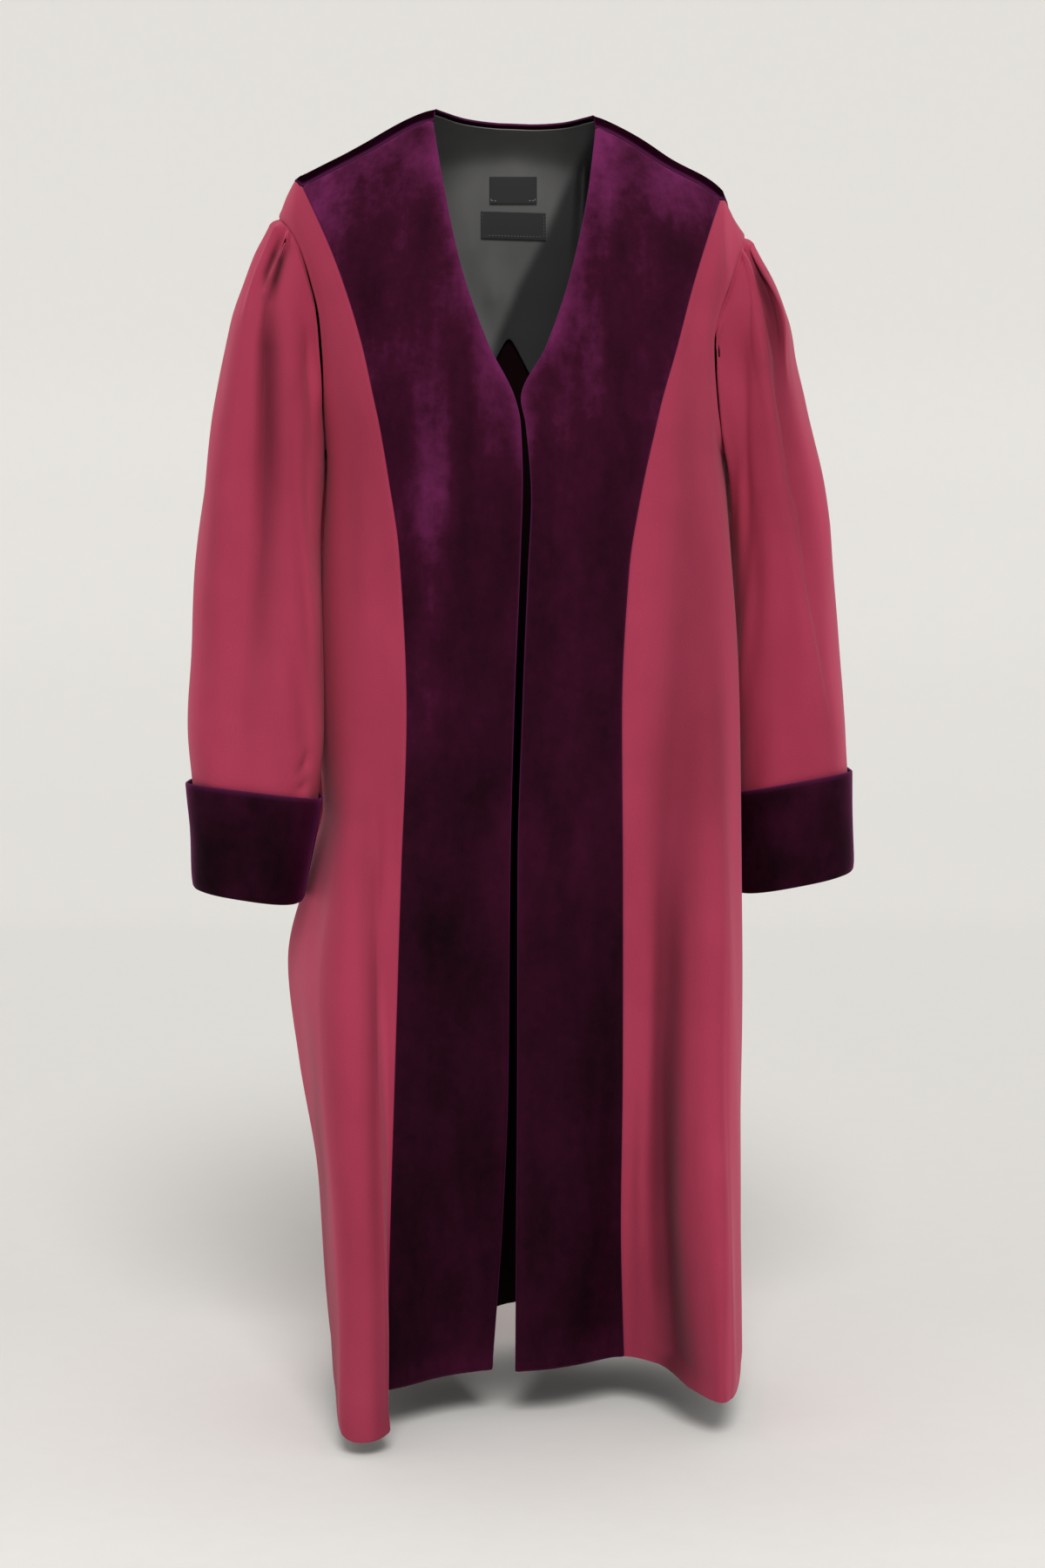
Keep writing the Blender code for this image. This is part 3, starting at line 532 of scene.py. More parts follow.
    def body_heights(self, top: Grid, hem: Grid, above: int, under: int) -> tuple[Grid, Grid]:
        """Heights of a panel's rows to the underarm and on to the hem, and each row's way to the underarm."""
        upper = down_steps(above, 0.45)[:, None]
        even = np.linspace(0.0, 1.0, under + 1)[1:, None]
        lower = even + 0.75 * np.sin(np.pi * even) / np.pi
        height = np.concatenate((blend(top, UNDERARM, upper), blend(UNDERARM, hem, lower)), axis=0)
        return height, np.concatenate((upper, np.ones_like(lower)), axis=0)

    def over_shoulder(self, across: Grid, turn: Grid) -> Grid:
        """A point over the shoulder: turn -1 at the front, 0 on the shoulder line, 1 where the back hangs."""
        side = np.where(across < 0.0, -1, 1)
        width = np.abs(across)
        arch = np.radians(90.0 + 90.0 * np.clip(turn, -1.0, 1.0))
        rounding = np.where(turn > 0.0, self.back_rounding, self.front_rounding)
        height = self.crest_at(side, width) - rounding * (1.0 - np.sin(arch) + np.maximum(turn - 1.0, 0.0))
        angle = self.angle_at(side, width, height)
        return self.point(side, np.where(turn > 0.0, 180.0 - angle, angle), height)

    def turn_at_height(self, across: Grid, height: Grid) -> Grid:
        """The turn at which the back of the shoulder reaches a height."""
        side = np.where(across < 0.0, -1, 1)
        below = (self.crest_at(side, np.abs(across)) - height) / self.back_rounding
        arch = 1.0 - np.degrees(np.arcsin(np.clip(1.0 - below, 0.0, 1.0))) / 90.0
        return np.where(below < 1.0, arch, below)

    def seam_turn(self, side: int, width: Grid) -> Grid:
        """The turn at which the shoulder seam lies, in front of the shoulder line."""
        drop = self.crest_height[side](width) - self.shoulder_seam_height(side, width)
        below = np.clip(drop / self.front_rounding, 0.0, 1.0)
        end, tip = self.yoke_end[side], self.armholes[side][0][1]
        past_end = ease((width - end + 0.004) / (tip - end))
        return -(1.0 - np.degrees(np.arcsin(1.0 - below)) / 90.0) + 0.004 + 0.045 * past_end

    def yoke_top(self, part: Grid, inset: float) -> tuple[Grid, Grid]:
        """Top edge of the yoke as across and turn: a shoulder seam, the back neck, the other shoulder seam.

        Along the back neck, across = half width x cosine to the power 0.6, and the turn comes from the neck's
        table.
        """
        shoulder = self.shoulder_share
        across = np.zeros_like(part)
        turn = np.zeros_like(part)
        for side in (-1, 1):
            place = part if side < 0 else 1.0 - part
            tip = self.armholes[side][0][1]
            width = blend(tip, self.neck_width + inset, np.clip(place / shoulder, 0.0, 1.0) ** 1.5)
            mine = place <= shoulder
            across = np.where(mine, side * width, across)
            turn = np.where(mine, self.seam_turn(side, np.clip(width, 0.0, tip)), turn)
            way = np.clip((place - shoulder) / (0.5 - shoulder), 0.0, 1.0)
            bend = np.radians(90.0 * way**self.neck_crowding)
            mine = (place > shoulder) & (place <= 0.5)
            share = np.clip(np.cos(bend), 0.0, 1.0) ** self.neck_power
            across = np.where(mine, side * (self.neck_width + inset) * share, across)
            turn = np.where(mine, self.neck_turn(share) + inset / 0.14 * np.sin(bend), turn)
        return across, turn

    def bend_rows(self, bend: int, hang: int) -> Grid:
        """Rows from 0 to 1 for cloth that goes over the shoulder: some round the bend, the rest hanging."""
        round_bend = np.linspace(0.0, self.bend_share, bend + 1)
        hanging = np.linspace(self.bend_share, 1.0, hang + 1)[1:]
        return np.concatenate((round_bend, hanging))[:, None]

    def bend_turn(self, top_turn: Grid, low_turn: Grid, rows: Grid) -> Grid:
        """The turn of each row: evenly round the bend until the cloth hangs, then down to its lower edge."""
        round_bend = blend(top_turn[None, :], 1.0, rows / self.bend_share)
        hanging = blend(1.0, low_turn[None, :], (rows - self.bend_share) / (1.0 - self.bend_share))
        return np.where(rows <= self.bend_share, round_bend, hanging)


class NodeBench:
    """A material's nodes, wired with short calls."""

    def __init__(self, name: str) -> None:
        """Make an empty material with a Principled shader on its output."""
        self.material = bpy.data.materials.new(name)
        self.material.use_nodes = True
        self.tree = self.material.node_tree
        self.shader = self.tree.nodes["Principled BSDF"]

    def node(self, kind: str, settings: dict | None = None, inputs: dict | None = None) -> bpy.types.Node:
        """Add a node.

        Args:
            kind: the node's Blender type.
            settings: its properties.
            inputs: a value or another node's socket for each input, by name or number.

        Returns:
            The node.
        """
        node = self.tree.nodes.new(kind)
        for name, value in (settings or {}).items():
            setattr(node, name, value)
        for name, value in (inputs or {}).items():
            self.plug(node.inputs[name], value)
        return node

    def plug(self, socket: Socket, value: object) -> None:
        """Set a socket's value, or link another node's socket to it."""
        if isinstance(value, Socket):
            self.tree.links.new(value, socket)
        else:
            socket.default_value = value

    def object_place(self) -> Socket:
        """The place on the object in metres."""
        return self.node("ShaderNodeTexCoord").outputs["Object"]

    def cloth_place(self) -> Socket:
        """The place on the cloth in metres across and down, from the piece's own map."""
        return self.node("ShaderNodeUVMap", {"uv_map": "cloth"}).outputs["UV"]

    def stretched(self, place: Socket, scale: Triple) -> Socket:
        """A place scaled along each axis."""
        return self.node("ShaderNodeMapping", inputs={"Vector": place, "Scale": scale}).outputs["Vector"]

    def noise(self, place: Socket, scale: float, detail: float, rough: float = 0.5) -> Socket:
        """Noise between 0 and 1."""
        inputs = {"Vector": place, "Scale": scale, "Detail": detail, "Roughness": rough}
        return self.node("ShaderNodeTexNoise", inputs=inputs).outputs["Fac"]

    def attribute(self, name: str) -> Socket:
        """A number kept on each point of the mesh."""
        return self.node("ShaderNodeAttribute", {"attribute_name": name}).outputs["Fac"]

    def sum(self, operation: str, first: object, second: object, third: object = 0.0) -> Socket:
        """A sum worked out with a Math node."""
        inputs = {0: first, 1: second, 2: third}
        return self.node("ShaderNodeMath", {"operation": operation}, inputs).outputs[0]

    def ramp(self, value: object, stops: tuple[tuple[float, Triple], ...]) -> Socket:
        """A colour read from a ramp of stops."""
        node = self.node("ShaderNodeValToRGB", inputs={"Fac": value})
        elements = node.color_ramp.elements
        for place, (position, colour) in enumerate(stops):
            element = elements[place] if place < 2 else elements.new(position)
            element.position = position
            element.color = (*colour, 1.0)
        return node.outputs["Color"]

    def mix(self, part: object, first: object, second: object, kind: str = "MIX") -> Socket:
        """Two colours mixed."""
        node = self.node("ShaderNodeMix", {"data_type": "RGBA", "blend_type": kind})
        self.plug(node.inputs["Factor"], part)
        for socket, value in ((node.inputs[6], first), (node.inputs[7], second)):
            self.plug(socket, (*value, 1.0) if isinstance(value, tuple) else value)
        return node.outputs[2]

    def surface(self, colour: Socket, **constants: float | tuple[float, ...]) -> None:
        """Link the shader's base colour and set constants on its own sockets, named with _ for a space."""
        self.plug(self.shader.inputs["Base Color"], colour)
        for name, value in constants.items():
            self.shader.inputs[name.replace("_", " ")].default_value = value

    def bump(self, height: Socket, strength: float, distance: float) -> None:
        """Lay a bump on the shader."""
        inputs = {"Height": height, "Strength": strength, "Distance": distance}
        self.plug(self.shader.inputs["Normal"], self.node("ShaderNodeBump", inputs=inputs).outputs["Normal"])


@dataclass(frozen=True)
class WoolFinish:
    """Crimson robe wool: a fine matt twill with a little lint and a soft sheen."""

    lit: Triple = (0.365, 0.036, 0.082)
    deep: Triple = (0.305, 0.027, 0.063)
    # Colour of the painted shade in the deepest folds.
    shaded: Triple = (0.052, 0.0042, 0.0105)
    # Colour of the painted side light on the wool's flanks.
    flank: Triple = (0.520, 0.060, 0.125)
    twill_pitch: float = 0.0011
    twill_angle: float = 58.0

    def material(self) -> bpy.types.Material:
        """Make the material: twill ribs along the cloth's map, broad and fine colour changes, a matt face,
        painted side light on the flanks and painted shade in the deep folds.
        """
        bench = NodeBench("robe_wool")
        place = bench.cloth_place()
        broad = bench.noise(bench.object_place(), 7.0, 3.0, 0.55)
        grain = bench.noise(place, 700.0, 2.0, 0.6)
        rotation = (0.0, 0.0, math.radians(self.twill_angle))
        turning = {"Vector": place, "Rotation": rotation}
        turned = bench.node("ShaderNodeMapping", inputs=turning).outputs["Vector"]
        waves = {"Vector": turned, "Scale": 0.314 / self.twill_pitch, "Distortion": 0.8, "Detail": 1.0}
        twill = bench.node(
            "ShaderNodeTexWave", {"wave_type": "BANDS", "bands_direction": "X"}, waves
        ).outputs["Fac"]
        base = bench.ramp(broad, ((0.30, self.deep), (0.70, self.lit)))
        fleck = bench.sum("MULTIPLY_ADD", grain, 0.35, 0.80)
        shade = bench.sum("MULTIPLY_ADD", twill, 0.10, fleck)
        ashen = bench.node("ShaderNodeCombineColor", inputs={0: shade, 1: shade, 2: shade}).outputs[0]
        cloth = bench.mix(1.0, base, ashen, "MULTIPLY")
        # Painted side light: the points' flank numbers lighten the wool where it turns to the side.
        side_lit = bench.mix(bench.attribute("flank"), cloth, self.flank)
        # Painted shade: the points' shade numbers darken the wool towards the shaded colour in the deep
        # folds.
        shade_painted = bench.mix(bench.attribute("shade"), side_lit, self.shaded)
        bench.surface(
            shade_painted,
            Roughness=0.86,
            Specular_IOR_Level=0.22,
            Sheen_Weight=0.13,
            Sheen_Roughness=0.45,
            Sheen_Tint=(1.0, 0.45, 0.55, 1.0),
        )
        bench.bump(bench.sum("MULTIPLY_ADD", twill, 0.5, grain), 0.22, 0.0004)
        return bench.material


@dataclass(frozen=True)
class InsideFinish:
    """The inside of the wool, which no light reaches, in a nearly black colour that paints its shade."""

    tone: Triple = (0.0060, 0.0016, 0.0022)

    def material(self) -> bpy.types.Material:
        """Make the material: nearly black painted shade, with a trace of the wool's grain."""
        bench = NodeBench("wool_inside")
        grain = bench.noise(bench.cloth_place(), 500.0, 2.0)
        lighter = tuple(1.5 * part for part in self.tone)
        inside = bench.ramp(grain, ((0.3, self.tone), (0.7, lighter)))
        bench.surface(inside, Roughness=0.95, Specular_IOR_Level=0.05)
        return bench.material


@dataclass(frozen=True)
class VelvetFinish:
    """Dark purple pile velvet: nearly black where it is smooth, purple where it is brushed, with painted
    highlights where it is bent along its edges.
    """

    name: str = "robe_velvet"
    deep: Triple = (0.0060, 0.0007, 0.0026)
    middle: Triple = (0.038, 0.0032, 0.0165)
    brushed: Triple = (0.155, 0.0185, 0.0920)
    # Colour of the painted highlight along the cut edges.
    rim_highlight: Triple = (0.130, 0.022, 0.095)
    sheen: float = 0.36
    gloss: float = 0.04
    contrast: float = 0.65

    def material(self) -> bpy.types.Material:
        """Make the material: brushed patches from the points' numbers and noise, painted light in the same
        numbers, and painted highlights along the cut edges.
        """
        bench = NodeBench(self.name)
        place = bench.object_place()
        streak = bench.noise(bench.stretched(place, (1.0, 1.0, 0.28)), 26.0, 4.0, 0.62)
        patch = bench.noise(bench.stretched(place, (1.0, 1.0, 0.7)), 9.0, 4.0, 0.6)
        pile = bench.noise(bench.cloth_place(), 900.0, 2.0, 0.6)
        nap_and_painted_light = bench.attribute("nap_and_painted_light")
        fleck = bench.noise(place, 95.0, 3.0, 0.7)
        uneven = bench.sum("MULTIPLY_ADD", streak, 1.5, bench.sum("MULTIPLY_ADD", patch, 1.9, -1.70))
        uneven = bench.sum("MULTIPLY_ADD", fleck, 0.7, bench.sum("ADD", uneven, -0.35))
        fine = bench.sum("MULTIPLY_ADD", pile, 0.12, -0.06)
        amount = bench.sum("MULTIPLY_ADD", nap_and_painted_light, self.contrast, 0.14)
        value = bench.sum("ADD", bench.sum("MULTIPLY_ADD", uneven, amount, nap_and_painted_light), fine)
        # The brushed end of the ramp also carries the painted light in the points' numbers.
        cloth = bench.ramp(value, ((0.02, self.deep), (0.95, self.brushed), (0.40, self.middle)))
        # Painted highlight: the cut edges are mixed towards a lighter purple.
        bench.surface(
            bench.mix(bench.attribute("rim_highlight"), cloth, self.rim_highlight),
            Roughness=0.75,
            Specular_IOR_Level=self.gloss,
            Sheen_Weight=self.sheen,
            Sheen_Roughness=0.30,
            Sheen_Tint=(0.46, 0.06, 0.30, 1.0),
        )
        bench.bump(bench.sum("MULTIPLY_ADD", streak, 0.8, pile), 0.30, 0.0008)
        return bench.material


@dataclass(frozen=True)
class SatinFinish:
    """Dark grey lining satin: smooth, with a soft gloss that breaks on its creases."""

    light: Triple = (0.185, 0.185, 0.186)
    dark: Triple = (0.125, 0.125, 0.126)
    # Colour of the painted shade on the lining's right side.
    shade: Triple = (0.020, 0.020, 0.021)

    def material(self) -> bpy.types.Material:
        """Make the material: fine ribs across the cloth, slow tone changes, a half gloss and painted shade
        where the points are marked turned.
        """
        bench = NodeBench("lining_satin")
        place = bench.cloth_place()
        slow = bench.noise(bench.stretched(bench.object_place(), (1.0, 1.0, 0.5)), 14.0, 3.0, 0.5)
        fine = bench.noise(bench.stretched(place, (1.0, 6.0, 1.0)), 500.0, 2.0, 0.5)
        cloth = bench.ramp(slow, ((0.3, self.dark), (0.7, self.light)))
        bench.surface(bench.mix(bench.attribute("turned"), cloth, self.shade), Specular_IOR_Level=0.45)
        bench.plug(bench.shader.inputs["Roughness"], bench.sum("MULTIPLY_ADD", fine, 0.10, 0.42))
        bench.bump(fine, 0.12, 0.0003)
        return bench.material


@dataclass(frozen=True)
class TapeFinish:
    """Woven black tape of the two bare labels."""

    tone: Triple = (0.022, 0.022, 0.023)

    def material(self) -> bpy.types.Material:
        """Make the material: ribs along the tape and a matt face."""
        bench = NodeBench("label_tape")
        waves = {"Vector": bench.cloth_place(), "Scale": 450.0, "Distortion": 0.3}
        ribs = bench.node(
            "ShaderNodeTexWave", {"wave_type": "BANDS", "bands_direction": "Y"}, waves
        ).outputs["Fac"]
        lighter = tuple(1.9 * part for part in self.tone)
        bench.surface(bench.ramp(ribs, ((0.2, self.tone), (0.9, lighter))), Roughness=0.7)
        bench.bump(ribs, 0.25, 0.0003)
        return bench.material


@dataclass(frozen=True)
class ThreadFinish:
    """Sewing thread."""

    name: str = "thread_pale"
    tone: Triple = (0.42, 0.42, 0.44)

    def material(self) -> bpy.types.Material:
        """Make the material: a twisted thread's small light and dark turns."""
        bench = NodeBench(self.name)
        twist = bench.noise(bench.object_place(), 3000.0, 1.0)
        dim = tuple(0.55 * part for part in self.tone)
        bench.surface(bench.ramp(twist, ((0.35, dim), (0.65, self.tone))), Roughness=0.6)
        return bench.material


@dataclass(frozen=True)
class PaperFinish:
    """The studio's pale paper."""

    tone: Triple = (0.920, 0.912, 0.895)
    # Colour of the painted shade on the paper.
    paper_shade: Triple = (0.580, 0.575, 0.564)

    def material(self) -> bpy.types.Material:
        """Make the material: a plain matt tone with a trace of grain, and painted shade that darkens it by
        depth.
        """
        bench = NodeBench("studio_paper")
        grain = bench.noise(bench.object_place(), 40.0, 2.0)
        darker = tuple(0.985 * part for part in self.tone)
        pale = bench.ramp(grain, ((0.3, darker), (0.7, self.tone)))
        paper = bench.mix(bench.attribute("paper_shade"), pale, self.paper_shade)
        bench.surface(paper, Roughness=0.95, Specular_IOR_Level=0.1)
        return bench.material


def grid_mesh(name: str, points: Grid, numbers: dict[str, Grid] | None = None) -> bpy.types.Object:
    """Make a mesh of a grid surface, with a map of the cloth in metres and numbers on its points.

    Args:
        name: the piece's name.
        points: rows by columns by 3.
        numbers: a grid of values for each attribute name.

    Returns:
        The piece's object, at the origin.
    """
    rows, columns = points.shape[:2]
    index = np.arange(rows * columns).reshape(rows, columns)
    around = (index[:-1, :-1], index[1:, :-1], index[1:, 1:], index[:-1, 1:])
    corners = np.stack(around, axis=-1).reshape(-1, 4)
    mesh = bpy.data.meshes.new(name)
    mesh.vertices.add(rows * columns)
    mesh.vertices.foreach_set("co", points.reshape(-1).astype(np.float32))
    mesh.loops.add(corners.size)
    mesh.loops.foreach_set("vertex_index", corners.reshape(-1).astype(np.int32))
    mesh.polygons.add(len(corners))
    mesh.polygons.foreach_set("loop_start", np.arange(0, corners.size, 4, dtype=np.int32))
    mesh.polygons.foreach_set("use_smooth", np.ones(len(corners), dtype=bool))
    mesh.update(calc_edges=True)
    across, down = step_lengths(points, 1), step_lengths(points, 0)
    place = np.stack((across, down), axis=-1).reshape(-1, 2)[corners.reshape(-1)]
    mesh.uv_layers.new(name="cloth").data.foreach_set("uv", place.reshape(-1).astype(np.float32))
    for key, grid in (numbers or {}).items():
        layer = mesh.attributes.new(key, "FLOAT", "POINT")
        layer.data.foreach_set("value", np.broadcast_to(grid, (rows, columns)).reshape(-1).astype(np.float32))
    mesh.validate()
    piece = bpy.data.objects.new(name, mesh)
    bpy.context.scene.collection.objects.link(piece)
    return piece


def give_wall(piece: bpy.types.Object, wall: float, rounding: float) -> None:
    """Give an open sheet its wall, half to each side, and rounded edges; a second material goes inside."""
    solid = piece.modifiers.new("wall", "SOLIDIFY")
    solid.thickness = wall
    solid.offset = 0.0
    solid.use_rim = True
    solid.material_offset = len(piece.data.materials) - 1
    if rounding > 0.0:
        edge = piece.modifiers.new("edge", "BEVEL")
        edge.width = rounding
        edge.segments = 2
        edge.limit_method = "ANGLE"
        edge.angle_limit = math.radians(60.0)


@dataclass(frozen=True)
class Cut:
    """The flat cut of a panel: width and length in metres, and its area where it isn't a rectangle."""

    width: float
    length: float
    area: float
    rests_on: tuple[str, ...]


@dataclass
class Panel:
    """A dressed panel of cloth that stands for one node of the frame."""

    name: str
    node: str
    slot: str
    wall: float
    cut: Cut
    rounding: float = 0.0005

    def dress(
        self,
        points: Grid,
        normals: Grid,
        materials: tuple[bpy.types.Material, ...],
        numbers: dict[str, Grid] | None = None,
    ) -> None:
        """Make the panel's mesh, wall and finish, and tie it to the frame.

        Args:
            points: the panel's grid.
            normals: its outward normals.
            materials: its finish, and the finish of its inside where that differs.
            numbers: values kept on its points.
        """
        turned = np.cross(np.gradient(points, axis=0), np.gradient(points, axis=1))
        if np.sum(turned * normals) < 0.0:
            points, size = points[:, ::-1], points.shape[:2]
            numbers = {key: np.broadcast_to(grid, size)[:, ::-1] for key, grid in (numbers or {}).items()}
        piece = grid_mesh(self.name, points, numbers)
        for material in materials:
            piece.data.materials.append(material)
        give_wall(piece, self.wall, self.rounding)
        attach(piece, "root")
        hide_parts(self.node)
        steps = (np.diff(points, axis=0)[:, :-1], np.diff(points, axis=1)[:-1])
        area = float(np.sum(np.linalg.norm(np.cross(*steps), axis=-1)))
        width = float(step_lengths(points, 1)[:, -1].max())
        length = float(step_lengths(points, 0)[-1].max())
        LOG.info("%s: area %.4f, width %.3f, length %.3f", self.name, area, width, length)


def rolled_edge(distance: Grid, reach: float, puff: float, dip: float) -> Grid:
    """Relief of a turned edge: it puffs up a little inside and rolls down at the very edge.

    Args:
        distance: metres from the edge.
        reach: how far in the puff lies.
        puff: its rise.
        dip: how far the edge itself rolls down.

    Returns:
        The relief in metres.
    """
    return puff * np.exp(-(((distance - reach) / reach) ** 2)) - dip * (1.0 - ease(distance / (0.6 * reach)))


@dataclass
class VelvetBands:
    """The two wide velvet bands from the shoulder seams round the V and down to the hem.

    A brushed patch is a row of across, height, its width and height, and how far it is brushed.
    """

    form: RobeForm
    across: int = 56
    above: int = 74
    under: int = 190
    gap: float = 0.0004
    brushed: Rows = (
        (-0.185, -0.035, 0.040, 0.050, 0.34),
        (-0.110, 0.005, 0.050, 0.040, 0.20),
        (-0.125, -0.175, 0.020, 0.060, 0.16),
        (-0.075, -0.300, 0.022, 0.110, 0.26),
        (-0.080, -0.420, 0.018, 0.100, 0.20),
        (-0.090, -0.560, 0.016, 0.120, 0.10),
        (-0.028, -0.230, 0.012, 0.110, 0.20),
        (0.150, -0.035, 0.045, 0.040, 0.24),
        (0.088, -0.020, 0.014, 0.080, 0.22),
        (0.070, -0.200, 0.018, 0.130, 0.18),
        (0.045, -0.330, 0.016, 0.120, 0.15),
        (0.110, -0.230, 0.020, 0.070, 0.12),
        (0.060, -0.560, 0.030, 0.200, 0.04),
        (0.085, -1.165, 0.045, 0.018, 0.14),
        (-0.060, -1.175, 0.060, 0.010, 0.10),
    )
    cuts: dict[int, Cut] = field(
        default_factory=lambda: {
            -1: Cut(0.185, 1.245, 0.146, ("velvet_yoke",)),
            1: Cut(0.165, 1.235, 0.137, ("velvet_yoke",)),
        }
    )

    def points(self, side: int) -> Grid:
        """Grid of a band: across from the free edge to the seam, and from the shoulder seam to the hem."""
        form = self.form
        u = edge_steps(self.across, 0.85)[None, :]
        top_width = blend(form.neck_width, form.yoke_end[side], u)
        top = form.shoulder_seam_height(side, top_width) - self.gap
        hem_angle = form.angle_at(side, np.abs(form.bands[side][-1][2]), form.hem_level) * u
        height, reached = form.body_heights(top, form.hem_height[side](hem_angle), self.above, self.under)
        free = side * form.band_curve(side, "free_edge")(height[:, :1])
        seam = side * form.band_curve(side, "seam")(height[:, -1:]) - self.gap / 2.0
        width = blend(free, seam, u) + (1.0 - reached) ** 2 * (top_width - blend(free[:1], seam[:1], u))
        return form.point(side, form.angle_at(side, width, height), height)

    def nap_and_painted_light(self, points: Grid) -> Grid:
        """How far the pile is brushed in broad patches, with painted light that is higher towards the
        shoulders and lower towards the hem.
        """
        across, height = points[..., 0], points[..., 2]
        value = 0.20 + 0.16 * ease((height + 0.45) / 0.45) - 0.07 * ease((-0.55 - height) / 0.35)
        for x, z, wide, tall, amount in self.brushed:
            value = value + amount * np.exp(-(((across - x) / wide) ** 2) - (((height - z) / tall) ** 2))
        return value

    def relief(self, points: Grid, edges: EdgeDistance, sign: int) -> Grid:
        """The rolled edges and, away from them, the velvet's broad unevenness."""
        lift = rolled_edge(edges.first, 0.0040, 0.0009, 0.0010)
        lift = lift + rolled_edge(edges.last, 0.0035, 0.0008, 0.0012)
        lift = lift + rolled_edge(edges.top, 0.0035, 0.0007, 0.0012)
        lift = lift + rolled_edge(edges.low, 0.0040, 0.0007, 0.0006)
        wavy = 0.0009 * ripple(points[..., 0] * 1.6, points[..., 2], 11 + sign, 0.10)
        wavy = wavy + 0.0016 * ripple(points[..., 0], 0.25 * points[..., 2], 21 + sign, 0.09)
        return lift + wavy * ease(edges.nearest / 0.03)

    def build(self, velvet: bpy.types.Material) -> None:
        """Build both bands, with rolled edges and a little unevenness."""
        for side in Side:
            sign = side.value
            points = self.points(sign)
            normals = outward_normals(points, np.array(BODY_MIDDLE))
            edges = EdgeDistance.of(points)
            lift = self.relief(points, edges, sign)
            # Painted highlights: a thin line along every edge, a broad one along the free edge near the neck
            # and softer ones along the seam and the top, all dimmed further down; lighter near the hem too.
            dimmed_below = ease((-0.3 - points[..., 2]) / 0.6)
            rim_highlight = np.exp(-((edges.nearest / 0.0012) ** 2)) * (0.62 - 0.30 * dimmed_below)
            edge_highlight = 0.42 * np.exp(-edges.first / 0.010) * (1.0 - 0.8 * ease((-0.24 - points[..., 2]) / 0.08))
            seam_highlight = 0.14 * np.exp(-edges.last / 0.006) + 0.16 * np.exp(-edges.top / 0.010)
            edge_highlight = edge_highlight + seam_highlight * (1.0 - dimmed_below)
            nap_and_painted_light = self.nap_and_painted_light(points) + edge_highlight + 0.10 * np.exp(-edges.low / 0.010)
            name, node, cut = "velvet_band_" + side.word, "band_" + side.word, self.cuts[sign]
            panel = Panel(name, node, "velvet", VELVET_WALL, cut, VELVET_ROUNDING)
            panel.dress(points + lift[..., None] * normals, normals, (velvet,), {"nap_and_painted_light": nap_and_painted_light, "rim_highlight": rim_highlight})


